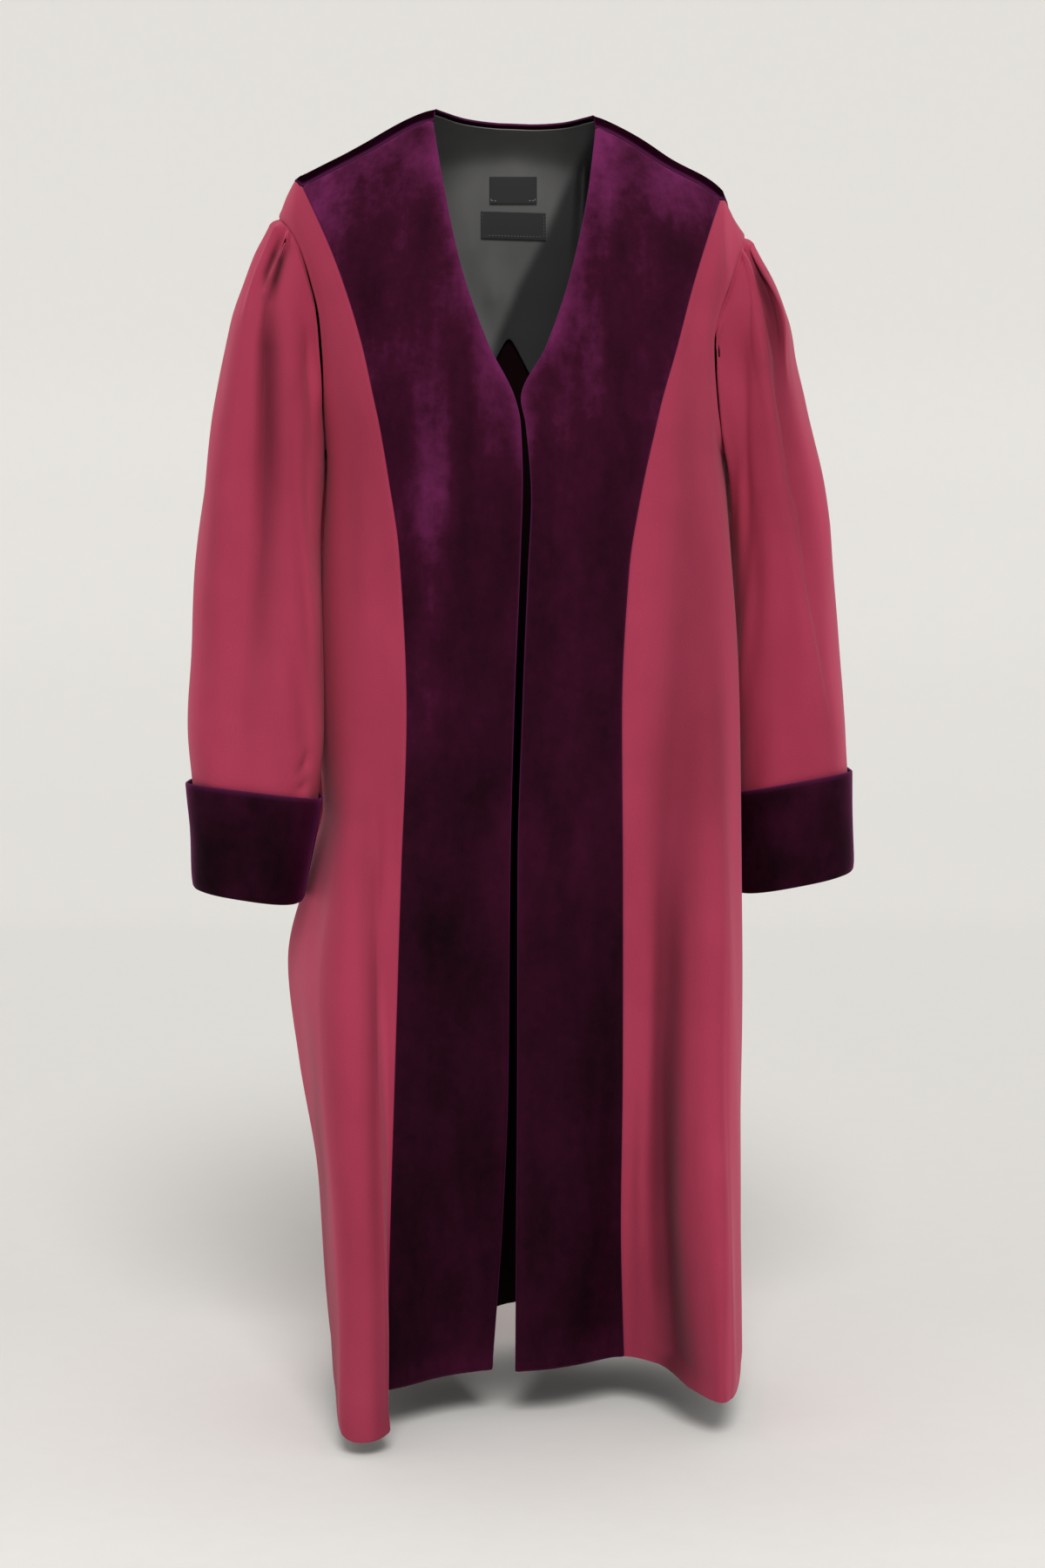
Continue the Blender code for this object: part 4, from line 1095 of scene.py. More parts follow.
@dataclass
class WoolFronts:
    """The two wool side fronts, with the standing folds at their hems and the soft folds of the drape.

    A standing fold is a row of foot, shoulder, fall and end across the front, the push at the near and the
    far flank, the crown's rise, the sideways lean and the height where it starts.
    """

    form: RobeForm
    across: int = 96
    above: int = 70
    under: int = 200
    gap: float = 0.0004
    standing: dict[int, Rows] = field(
        default_factory=lambda: {
            -1: ((0.015, 0.13, 0.42, 0.78, 0.060, 0.128, 0.010, 0.017, -0.58),),
            1: ((0.14, 0.32, 0.60, 0.97, 0.040, 0.022, 0.006, -0.002, -0.60),),
        }
    )
    folds: dict[int, tuple[Fold, ...]] = field(
        default_factory=lambda: {
            -1: (
                Fold(((-0.134, -0.62, 0.004, 0.0), (-0.1333, -0.70, 0.005, -0.0045),
                      (-0.131, -0.83, 0.005, -0.0045), (-0.129, -0.93, 0.005, 0.0)), skew=1.8),
                Fold(((-0.158, -0.42, 0.016, 0.0), (-0.158, -0.62, 0.018, 0.0055),
                      (-0.158, -0.86, 0.018, 0.0060), (-0.154, -1.04, 0.016, 0.0))),
                Fold(((-0.188, -0.58, 0.012, 0.0), (-0.198, -0.76, 0.014, -0.0060),
                      (-0.192, -0.96, 0.012, 0.0))),
                Fold(((-0.178, -0.20, 0.012, 0.0), (-0.166, -0.32, 0.016, -0.0035),
                      (-0.160, -0.46, 0.016, 0.0))),
                Fold(((-0.148, -0.30, 0.010, 0.0), (-0.142, -0.45, 0.014, 0.0025),
                      (-0.136, -0.62, 0.012, 0.0))),
            ),
            1: (
                Fold(((0.180, -0.19, 0.016, 0.0), (0.177, -0.273, 0.020, -0.0045),
                      (0.172, -0.441, 0.022, -0.0065), (0.1515, -0.655, 0.018, -0.0080),
                      (0.1464, -0.784, 0.012, -0.0080), (0.144, -0.88, 0.010, 0.0))),
                Fold(((0.143, -0.68, 0.004, 0.0), (0.1425, -0.80, 0.0055, -0.0070),
                      (0.1400, -0.898, 0.006, -0.0130), (0.1390, -0.968, 0.006, -0.0165),
                      (0.1395, -1.038, 0.006, -0.0170), (0.1440, -1.108, 0.0065, -0.0150),
                      (0.1520, -1.180, 0.007, -0.0110)), skew=2.6),
                Fold(((0.185, -0.50, 0.014, 0.0), (0.184, -0.78, 0.014, 0.0030),
                      (0.184, -1.00, 0.014, 0.0030), (0.186, -1.15, 0.014, 0.0))),
                Fold(((0.124, -0.86, 0.006, 0.0), (0.124, -1.00, 0.008, 0.0025),
                      (0.127, -1.14, 0.008, 0.0))),
                Fold(((0.150, -0.32, 0.010, 0.0), (0.146, -0.48, 0.014, 0.0025),
                      (0.148, -0.68, 0.012, 0.0))),
            ),
        }
    )
    # Painted shade in the deepest folds and darker towards the hem: rows as for a fold, with how dark in
    # place of the rise.
    painted_shades: dict[int, tuple[Fold, ...]] = field(
        default_factory=lambda: {
            -1: (
                Fold(((-0.1410, -0.60, 0.010, 0.0), (-0.1400, -0.70, 0.010, 0.22),
                      (-0.1360, -0.86, 0.008, 0.30), (-0.1330, -1.00, 0.007, 0.30),
                      (-0.1290, -1.14, 0.007, 0.20), (-0.1280, -1.25, 0.006, 0.15))),
                Fold(((-0.1990, -0.80, 0.008, 0.0), (-0.1930, -0.95, 0.010, 0.40),
                      (-0.1800, -1.14, 0.011, 0.50), (-0.1740, -1.26, 0.011, 0.55))),
                Fold(((-0.1150, -1.00, 0.006, 0.0), (-0.1170, -1.14, 0.009, 0.45),
                      (-0.1180, -1.26, 0.010, 0.50))),
                Fold(((-0.1500, -0.84, 0.10, 0.0), (-0.1500, -1.00, 0.10, 0.10),
                      (-0.1450, -1.26, 0.10, 0.24))),
            ),
            1: (
                Fold(((0.1800, -0.16, 0.020, 0.0), (0.1770, -0.273, 0.022, 0.22),
                      (0.1720, -0.441, 0.025, 0.30), (0.1540, -0.600, 0.024, 0.38),
                      (0.1490, -0.655, 0.018, 0.40), (0.1450, -0.784, 0.0110, 0.62),
                      (0.1420, -0.900, 0.0095, 0.80), (0.1415, -1.000, 0.0095, 0.85),
                      (0.1450, -1.100, 0.0110, 0.85), (0.1530, -1.180, 0.0130, 0.85)), skew=2.2),
                Fold(((0.1600, -0.90, 0.10, 0.0), (0.1600, -1.02, 0.10, 0.06),
                      (0.1600, -1.22, 0.10, 0.24))),
            ),
        }
    )

    def cut(self, side: Side) -> Cut:
        """The flat cut of one side front."""
        rests_on = ("velvet_band_" + side.word,)
        return Cut(0.30, 1.235, 0.250, rests_on) if side.value < 0 else Cut(0.24, 1.205, 0.200, rests_on)

    def standing_shift(self, side: int, u: Grid, height: Grid) -> tuple[Grid, Grid]:
        """Movement of the standing folds, forward and sideways.

        The near flank rises from foot to shoulder and the far flank drops from fall to end, on eased ramps.
        """
        forward = np.zeros(np.broadcast(u, height).shape)
        sideways = np.zeros_like(forward)
        for foot, shoulder, fall, end, near_push, far_push, crown, lean, start in self.standing[side]:
            grown = np.clip((start - height) / (start - self.form.hem_level), 0.0, 1.05) ** 1.4
            wave = ease((u - foot) / (shoulder - foot)) * ease((end - u) / (end - fall))
            part = np.clip((u - shoulder) / (fall - shoulder), 0.0, 1.0)
            dome = 1.0 - (2.0 * part - 1.0) ** 2
            forward = forward + (blend(near_push, far_push, part) * wave + crown * dome) * grown
            sideways = sideways + lean * (1.0 - ease(part)) * wave * grown
        return forward, sideways

    def points(self, side: int) -> Grid:
        """Grid of a side front: across from the band seam to the side, and from the shoulder to the hem."""
        form = self.form
        u = (np.linspace(0.0, 1.0, self.across + 1) ** 1.25)[None, :]
        tip_width, tip_height = form.armholes[side][0][1], form.armhole_top(side)
        top_width = blend(form.yoke_end[side] + self.gap, tip_width, u)
        seam_height, crest = form.shoulder_seam_height(side, top_width), form.crest_at(side, top_width)
        top = np.minimum(seam_height, crest) - self.gap
        seam_hem = form.angle_at(side, np.abs(form.bands[side][-1][2]), form.hem_level)
        hem = form.hem_height[side](blend(seam_hem, form.side_seam_angle, u))
        height, reached = form.body_heights(top, hem, self.above, self.under)
        seam_width = side * form.band_curve(side, "seam")(height[:, :1]) + self.gap / 2.0
        inner = form.angle_at(side, seam_width, height[:, :1])
        outer = form.edge_angle(side, np.minimum(height[:, -1:], tip_height), "front")
        angle = blend(inner, outer, u)
        angle = angle + (1.0 - reached) ** 3 * (form.angle_at(side, top_width, top) - angle[:1])
        points = form.point(side, angle, height)
        forward, sideways = self.standing_shift(side, u, height)
        points[..., 1] -= forward
        points[..., 0] -= side * sideways
        return points

    def build(self, wool: tuple[bpy.types.Material, ...]) -> None:
        """Build both side fronts."""
        for side in Side:
            sign = side.value
            points = self.points(sign)
            normals = outward_normals(points, np.array(BODY_MIDDLE))
            edges = EdgeDistance.of(points)
            seam = rolled_edge(edges.first, 0.003, 0.0002, 0.0008)
            lift = seam + rolled_edge(edges.last, 0.003, 0.0003, 0.0004)
            soft = 0.0014 * ripple(points[..., 0] + points[..., 1], 0.30 * points[..., 2], 31 + sign, 0.08)
            lift = lift + (soft + fold_lift(self.folds[sign], points, normals)) * ease(edges.nearest / 0.02)
            name, node = "wool_front_" + side.word, "front_" + side.word
            panel = Panel(name, node, "wool", WOOL_WALL, self.cut(side))
            # The flank numbers are painted side light.
            # The shade numbers are painted shade in the folds.
            shade = {"shade": painted_fold_shade(self.painted_shades[sign], points), "flank": painted_side_light(normals)}
            panel.dress(points + lift[..., None] * normals, normals, wool, shade)


@dataclass
class WoolBack:
    """The wool back, gathered a little under the yoke and falling in standing folds to the hem.

    A standing fold is a row of its place at the top and at the hem, width, push and starting height.
    """

    form: RobeForm
    across: int = 150
    above: int = 34
    under: int = 200
    gap: float = 0.0004
    side_fold: float = 0.011
    standing: Rows = (
        (-0.52, -0.66, 0.115, 0.050, -0.30),
        (-0.24, -0.30, 0.100, 0.055, -0.22),
        (0.05, 0.03, 0.095, 0.060, -0.18),
        (0.30, 0.37, 0.105, 0.052, -0.24),
        (0.56, 0.70, 0.115, 0.045, -0.34),
    )
    folds: tuple[Fold, ...] = (
        Fold(((-0.130, -0.20, 0.008, 0.0), (-0.134, -0.34, 0.012, -0.0022),
              (-0.142, -0.56, 0.014, 0.0)), Face.BACK),
        Fold(((-0.062, -0.14, 0.006, 0.0), (-0.064, -0.24, 0.010, 0.0022),
              (-0.072, -0.48, 0.013, 0.0)), Face.BACK),
        Fold(((-0.010, -0.13, 0.006, 0.0), (-0.008, -0.26, 0.010, -0.0020),
              (-0.004, -0.52, 0.013, 0.0)), Face.BACK),
        Fold(((0.048, -0.14, 0.006, 0.0), (0.052, -0.28, 0.010, 0.0024),
              (0.060, -0.60, 0.014, 0.0)), Face.BACK),
        Fold(((0.118, -0.18, 0.008, 0.0), (0.124, -0.36, 0.012, -0.0020),
              (0.134, -0.62, 0.014, 0.0)), Face.BACK),
        Fold(((0.160, -0.24, 0.008, 0.0), (0.150, -0.34, 0.012, 0.0020),
              (0.140, -0.46, 0.012, 0.0)), Face.BACK),
    )

    def points(self) -> Grid:
        """Grid of the back: across from the left side to the right, and from the yoke seam to the hem."""
        form = self.form
        w = np.linspace(-1.0, 1.0, self.across + 1)[None, :]
        side = np.where(w < 0.0, -1, 1)
        hem_angle = blend(180.0, form.side_seam_angle, np.abs(w))
        hem = np.where(w < 0.0, form.hem_height[-1](hem_angle), form.hem_height[1](hem_angle))
        seam_height = np.full(w.shape, form.yoke_height - self.gap)
        height, _ = form.body_heights(seam_height, hem, self.above, self.under)
        left, right = form.edge_angle(-1, height, "back") + 0.12, form.edge_angle(1, height, "back") + 0.05
        angle = blend(180.0, np.where(w < 0.0, left, right), np.abs(w))
        points = form.point(side, angle, height)
        shift = np.zeros_like(height)
        for top_place, hem_place, width, push, start in self.standing:
            grown = np.clip((start - height) / (start - form.hem_level), 0.0, 1.0)
            place = blend(top_place, hem_place, grown)
            shift = shift + push * grown**1.2 * np.exp(-(((w - place) / width) ** 2))
        shift = (shift - 0.35 * shift.max(axis=1, keepdims=True)) * (1.0 - w**6)
        radians = np.radians(angle)
        points[..., 0] += 0.45 * shift * side * np.sin(radians)
        points[..., 1] -= shift * np.cos(radians)
        near_side = np.exp(-(((w + 0.93) / 0.045) ** 2)) * ease((1.0 + w) / 0.03)
        between = ease((-0.270 - height) / 0.03) * ease((height + 0.76) / 0.10)
        points[..., 0] -= self.side_fold * near_side * between
        return points

    def build(self, wool: tuple[bpy.types.Material, ...]) -> None:
        """Build the back, with the seam's small gathers fading below the yoke."""
        points = self.points()
        normals = outward_normals(points, np.array(BODY_MIDDLE))
        edges = EdgeDistance.of(points)
        gathers = 0.0012 * ripple(points[..., 0], 0.05 * points[..., 2], 51, 0.022, 5)
        gathers = gathers * np.exp(-edges.top / 0.05)
        soft = 0.0012 * ripple(points[..., 0], 0.30 * points[..., 2], 52, 0.08)
        edge = np.minimum(np.minimum(edges.first, edges.last), edges.top)
        lift = (gathers + soft + fold_lift(self.folds, points, normals)) * ease(edge / 0.02)
        lift = lift + rolled_edge(edges.top, 0.003, 0.0004, 0.0008)
        panel = Panel("wool_back", "back", "wool", WOOL_WALL, Cut(0.82, 1.075, 0.612, ("velvet_yoke",)))
        panel.dress(points + lift[..., None] * normals, normals, wool)


@dataclass
class VelvetYoke:
    """The velvet yoke over both shoulders, from the forward shoulder seams to the seam across the back."""

    form: RobeForm
    across: int = 150
    bend: int = 30
    hang: int = 18

    def points(self) -> Grid:
        """Grid of the yoke: across from shoulder end to shoulder end, and down the back to the yoke seam."""
        form = self.form
        part = np.linspace(0.0, 1.0, self.across + 1)
        top_across, top_turn = form.yoke_top(part, 0.0)
        ends = [float(form.armhole_width(side, "back")(form.yoke_height)) for side in (-1, 1)]
        low_across = np.interp(part, (0.0, 0.5, 1.0), (-ends[0], 0.0, ends[1]))
        low_turn = form.turn_at_height(low_across, form.yoke_height)
        rows = form.bend_rows(self.bend, self.hang)
        place = blend(top_across[None, :], low_across[None, :], rows)
        points = form.over_shoulder(place, form.bend_turn(top_turn, low_turn, rows))
        for side, edge in ((-1, 0), (1, -1)):
            height = blend(form.armhole_top(side), form.yoke_height, rows[:, 0])
            points[:, edge] = form.point(side, form.edge_angle(side, height, "back") + 0.08, height)
        return points

    def build(self, velvet: bpy.types.Material) -> None:
        """Build the yoke, with rolled seams and painted highlights along its edges, most round the neck."""
        points = self.points()
        normals = outward_normals(points, np.array((0.0, 0.01, -0.2)))
        edges = EdgeDistance.of(points)
        lift = rolled_edge(edges.top, 0.0035, 0.0004, 0.0006) + rolled_edge(edges.low, 0.0035, 0.0006, 0.0010)
        wavy = 0.0008 * ripple(points[..., 0], points[..., 1] + points[..., 2], 61, 0.09)
        lift = lift + wavy * ease(edges.nearest / 0.03)
        # Painted highlights along the top edge and the lower seam, a little more along the top; lighter too
        # where the yoke goes back over the shoulder.
        rim_highlight = 0.60 * np.exp(-((np.minimum(edges.top, edges.low) / 0.0013) ** 2))
        nap_and_painted_light = 0.05 + 0.24 * ease((points[..., 1] - 0.02) / 0.06) + 0.12 * np.exp(-edges.top / 0.003)
        cut = Cut(0.50, 0.235, 0.103, ("velvet_band_left", "velvet_band_right"))
        panel = Panel("velvet_yoke", "yoke", "velvet", VELVET_WALL, cut, VELVET_ROUNDING)
        panel.dress(points + lift[..., None] * normals, normals, (velvet,), {"nap_and_painted_light": nap_and_painted_light, "rim_highlight": rim_highlight})


SLEEVE_COLUMNS = ("height", "inner", "outer", "front", "back")
GATHER_COLUMNS = ("line", "armhole")


@dataclass
class SleeveForm:
    """One sleeve's form: oval sections down the arm, the gathered head and the slanting end.

    A pleat is a row of its angle round the head, width, rise and length.
    """

    form: RobeForm
    side: int
    sections: Rows
    pleats: Rows
    end: float
    slant: float
    power: float = 2.7
    settle: float = 0.112
    gap: float = 0.0009
    under_gap: float = 0.0030
    gather: Rows = (
        (-180.0, -180.0),
        (-150.0, -130.0),
        (-120.0, -82.0),
        (-100.0, -48.0),
        (-80.0, -33.0),
        (-58.0, -19.0),
        (0.0, 0.0),
        (50.0, 14.0),
        (62.0, 21.0),
        (71.0, 27.5),
        (80.0, 31.0),
        (89.0, 35.0),
        (100.0, 48.0),
        (120.0, 82.0),
        (150.0, 130.0),
        (180.0, 180.0),
    )

    def __post_init__(self) -> None:
        """Work out the curves of the tables once."""
        names = SLEEVE_COLUMNS
        self.curve = {name: Curve.from_table(self.sections, names, "height", name) for name in names[1:]}
        self.armhole_angle = Curve.from_table(self.gather, GATHER_COLUMNS, "line", "armhole")

    def oval(self, angle: Grid, height: Grid) -> tuple[Grid, Grid]:
        """Across (outwards) and depth on the sleeve's oval; angle 0 is the outer side and 90 the front.

        Each is its middle plus its half size x the cosine or sine to the power 2/n, with its sign kept.
        """
        inner, outer = self.curve["inner"](height), self.curve["outer"](height)
        front, back = self.curve["front"](height), self.curve["back"](height)
        radians = np.radians(angle)
        shape = 2.0 / self.power
        cosine = np.sign(np.cos(radians)) * np.abs(np.cos(radians)) ** shape
        sine = np.sign(np.sin(radians)) * np.abs(np.sin(radians)) ** shape
        width = (inner + outer) / 2.0 + (outer - inner) / 2.0 * cosine
        return width, (front + back) / 2.0 + (front - back) / 2.0 * sine

    def armhole_point(self, angle: Grid) -> Grid:
        """A point on the armhole's edge: 0 at the shoulder end, 90 at the front, 180 at the underarm."""
        form, side = self.form, self.side
        top, bottom = form.armhole_top(side), UNDERARM
        height = (top + bottom) / 2.0 + (top - bottom) / 2.0 * np.cos(np.radians(angle))
        held = np.maximum(height, bottom + 1e-6)
        front = form.point(side, form.edge_angle(side, held, "front"), height)
        back = form.point(side, form.edge_angle(side, held, "back"), height)
        return np.where((np.sin(np.radians(angle)) >= 0.0)[..., None], front, back)

    def end_height(self, angle: Grid) -> Grid:
        """The sleeve's slanting end, higher on its outer side."""
        width = self.oval(angle, self.end)[0]
        middle = self.oval(np.array(90.0), self.end)[0]
        return self.end + self.slant * (width - middle)

    def pleat_rise(self, angle: Grid, below: Grid) -> Grid:
        """How far the head's pleats stand out or sink in: bell curves over the angle that fade downwards."""
        total = np.zeros(np.broadcast(angle, below).shape)
        for centre, width, rise, length in self.pleats:
            fade = ease(below / 0.007) * (1.0 - ease((below / length - 0.35) / 0.65))
            total = total + rise * np.exp(-(((angle - centre) / width) ** 2)) * fade
        return total

    def points(self, angle: Grid, down: int) -> Grid:
        """Grid of the sleeve: round from the underarm seam over the top, and from armhole to cuff."""
        angle = angle[None, :]
        rows = down_steps(down, 0.62)[:, None]
        start = self.armhole_point(self.armhole_angle(angle))[0]
        height = blend(start[None, :, 2], self.end_height(angle), rows)
        width, depth = self.oval(angle, height)
        head_width, head_depth = self.oval(angle, start[None, :, 2])
        below = start[None, :, 2] - height
        pull = (1.0 - ease(below / self.settle)) ** 1.3
        gap = blend(self.gap, self.under_gap, (1.0 - np.cos(np.radians(angle))) / 2.0)
        width = width + pull * (self.side * start[None, :, 0] - head_width) + gap
        depth = depth + pull * (start[None, :, 1] - head_depth)
        rise = self.pleat_rise(angle, below)
        radians = np.radians(angle)
        width = width + rise * np.cos(radians)
        depth = depth - rise * np.sin(radians)
        height = height - self.gap * np.maximum(np.cos(radians), 0.0) * (1.0 - rows)
        return np.stack((self.side * width, depth, height), axis=-1)


@dataclass
class WoolSleeves:
    """The two wool sleeves, pleated into the shoulder ends, with the drape's soft folds.

    The lines give the angle round the sleeve at some numbers of its columns.
    """

    forms: dict[int, SleeveForm]
    down: int = 190
    tuck_depth: float = 0.0019
    tuck_length: float = 0.0035
    tuck_sink: float = 0.0006
    lines: Rows = ((0, -180.0), (22, -100.0), (58, -45.0), (78, 45.0), (148, 100.0), (170, 180.0))
    folds: dict[int, tuple[Fold, ...]] = field(
        default_factory=lambda: {
            -1: (
                Fold(((-0.2225, -0.069, 0.003, 0.0), (-0.2275, -0.084, 0.0034, -0.0016),
                      (-0.2340, -0.100, 0.0036, -0.0022), (-0.2395, -0.1165, 0.0036, -0.0020),
                      (-0.2415, -0.136, 0.005, 0.0))),
                Fold(((-0.2165, -0.079, 0.003, 0.0), (-0.2205, -0.090, 0.0034, -0.0016),
                      (-0.2255, -0.104, 0.0036, -0.0024), (-0.2305, -0.125, 0.0040, -0.0026),
                      (-0.2340, -0.145, 0.005, -0.0024), (-0.2370, -0.170, 0.006, 0.0))),
                Fold(((-0.2380, -0.140, 0.004, 0.0), (-0.2405, -0.19, 0.0055, -0.0120),
                      (-0.2405, -0.26, 0.006, -0.0120), (-0.2420, -0.36, 0.008, -0.0080),
                      (-0.2500, -0.52, 0.012, 0.0)), skew=2.5),
                Fold(((-0.199, -0.165, 0.004, 0.0), (-0.1985, -0.195, 0.005, -0.0045),
                      (-0.1965, -0.245, 0.005, -0.0045), (-0.195, -0.30, 0.005, 0.0))),
                Fold(((-0.214, -0.14, 0.007, 0.0), (-0.212, -0.22, 0.010, 0.0045),
                      (-0.210, -0.40, 0.012, 0.0035), (-0.208, -0.56, 0.012, 0.0))),
                Fold(((-0.264, -0.15, 0.010, 0.0), (-0.272, -0.26, 0.014, 0.0055),
                      (-0.278, -0.42, 0.015, 0.0040), (-0.282, -0.58, 0.012, 0.0))),
                Fold(((-0.262, -0.44, 0.010, 0.0), (-0.264, -0.54, 0.012, -0.0028),
                      (-0.262, -0.64, 0.010, 0.0))),
                Fold(((-0.198, -0.575, 0.0035, 0.0), (-0.2035, -0.592, 0.0045, -0.0055),
                      (-0.214, -0.603, 0.004, 0.0))),
                Fold(((-0.199, -0.602, 0.0035, 0.0), (-0.206, -0.612, 0.0040, -0.0045),
                      (-0.216, -0.617, 0.004, 0.0))),
                Fold(((-0.240, -0.16, 0.010, 0.0), (-0.246, -0.30, 0.014, -0.0040),
                      (-0.250, -0.50, 0.014, 0.0)), Face.BACK),
                Fold(((-0.278, -0.18, 0.010, 0.0), (-0.286, -0.34, 0.013, 0.0030),
                      (-0.290, -0.52, 0.013, 0.0)), Face.BACK),
            ),
            1: (
                Fold(((0.2272, -0.080, 0.003, 0.0), (0.2315, -0.094, 0.0040, -0.0060),
                      (0.2385, -0.116, 0.0052, -0.0085), (0.2455, -0.145, 0.0058, -0.0090),
                      (0.2520, -0.178, 0.0065, -0.0080), (0.258, -0.212, 0.007, -0.0045),
                      (0.264, -0.25, 0.008, 0.0)), skew=1.6),
                Fold(((0.2273, -0.095, 0.010, 0.0010), (0.2336, -0.1464, 0.013, 0.0035),
                      (0.2429, -0.2011, 0.015, 0.0060), (0.2516, -0.2481, 0.016, 0.0075),
                      (0.2639, -0.3213, 0.018, 0.0070), (0.2729, -0.3459, 0.018, 0.0070),
                      (0.2847, -0.433, 0.018, 0.0055), (0.3158, -0.574, 0.016, 0.0)), skew=0.20),
                Fold(((0.2475, -0.2011, 0.006, 0.0), (0.2580, -0.2481, 0.007, -0.0065),
                      (0.2705, -0.3213, 0.008, -0.0060), (0.2920, -0.433, 0.009, -0.0040),
                      (0.319, -0.56, 0.009, 0.0)), skew=2.4),
                Fold(((0.225, -0.20, 0.006, 0.0), (0.231, -0.34, 0.009, -0.0030),
                      (0.236, -0.52, 0.012, 0.0))),
                Fold(((0.300, -0.24, 0.008, 0.0), (0.312, -0.36, 0.010, 0.0030),
                      (0.324, -0.52, 0.010, 0.0))),
                Fold(((0.262, -0.44, 0.012, 0.0), (0.268, -0.54, 0.014, -0.0026),
                      (0.272, -0.64, 0.012, 0.0))),
                Fold(((0.250, -0.16, 0.010, 0.0), (0.262, -0.30, 0.014, -0.0040),
                      (0.270, -0.50, 0.014, 0.0)), Face.BACK),
                Fold(((0.284, -0.20, 0.010, 0.0), (0.298, -0.34, 0.013, 0.0030),
                      (0.310, -0.54, 0.013, 0.0)), Face.BACK),
            ),
        }
    )
    # Painted shade in the slits of the sleeve heads and the soft folds below them: rows as for a fold, with
    # how dark in place of the rise.
    painted_shades: dict[int, tuple[Fold, ...]] = field(
        default_factory=lambda: {
            -1: (
                Fold(((-0.2260, -0.078, 0.003, 0.0), (-0.2335, -0.099, 0.0032, 0.92),
                      (-0.2395, -0.1165, 0.0032, 0.75), (-0.2410, -0.134, 0.004, 0.0))),
                Fold(((-0.2190, -0.086, 0.003, 0.0), (-0.2255, -0.104, 0.0036, 0.95),
                      (-0.2305, -0.125, 0.0044, 0.95), (-0.2345, -0.147, 0.005, 0.0))),
                Fold(((-0.2385, -0.140, 0.004, 0.30), (-0.2390, -0.19, 0.0055, 0.70),
                      (-0.2385, -0.273, 0.0060, 0.62), (-0.2405, -0.373, 0.0060, 0.45),
                      (-0.2500, -0.493, 0.010, 0.20), (-0.2560, -0.60, 0.012, 0.0)), skew=2.4),
            ),
            1: (
                Fold(((0.2300, -0.090, 0.003, 0.0), (0.2385, -0.116, 0.0050, 0.80),
                      (0.2455, -0.145, 0.0060, 0.80), (0.2515, -0.190, 0.0070, 0.55),
                      (0.2620, -0.273, 0.010, 0.20), (0.2750, -0.373, 0.012, 0.10),
                      (0.3000, -0.50, 0.012, 0.0)), skew=1.8),
            ),
        }
    )

    def build(self, wool: tuple[bpy.types.Material, ...]) -> None:
        """Build both sleeves; their first rows run on under the armhole's edge."""
        for side in Side:
            sign = side.value
            sleeve = self.forms[sign]
            knots = np.array(self.lines)
            angle = np.interp(np.arange(knots[-1, 0] + 1), knots[:, 0], knots[:, 1]) * (1.0 - SEAM_SHARE)
            points = sleeve.points(angle, self.down)
            centre = points.mean(axis=1, keepdims=True)
            normals = outward_normals(points, centre)
            edges = EdgeDistance.of(points)
            soft = 0.0013 * ripple(edges.first, 0.30 * points[..., 2], 71 + sign, 0.075)
            lift = (soft + fold_lift(self.folds[sign], points, normals)) * ease(edges.nearest / 0.015)
            lift = lift - self.tuck_depth * (1.0 - ease(edges.top / 0.006))
            points = points + lift[..., None] * normals
            back_in = unit(points[:1] - points[2:3])
            under = points[:1] + self.tuck_length * back_in - self.tuck_sink * normals[:1]
            points = np.concatenate((under, points), axis=0)
            normals = np.concatenate((normals[:1], normals), axis=0)
            cut = Cut(0.44, 0.68, 0.254, ("wool_front_" + side.word, "velvet_yoke"))
            panel = Panel("wool_sleeve_" + side.word, "sleeve_" + side.word, "wool", WOOL_WALL, cut)
            # Painted shade, only where the sleeve faces the front.
            front = ease(0.5 - 2.5 * normals[..., 1])
            # The flank numbers are painted side light.
            shade = {"shade": painted_fold_shade(self.painted_shades[sign], points) * front, "flank": painted_side_light(normals)}
            panel.dress(points, normals, wool, shade)


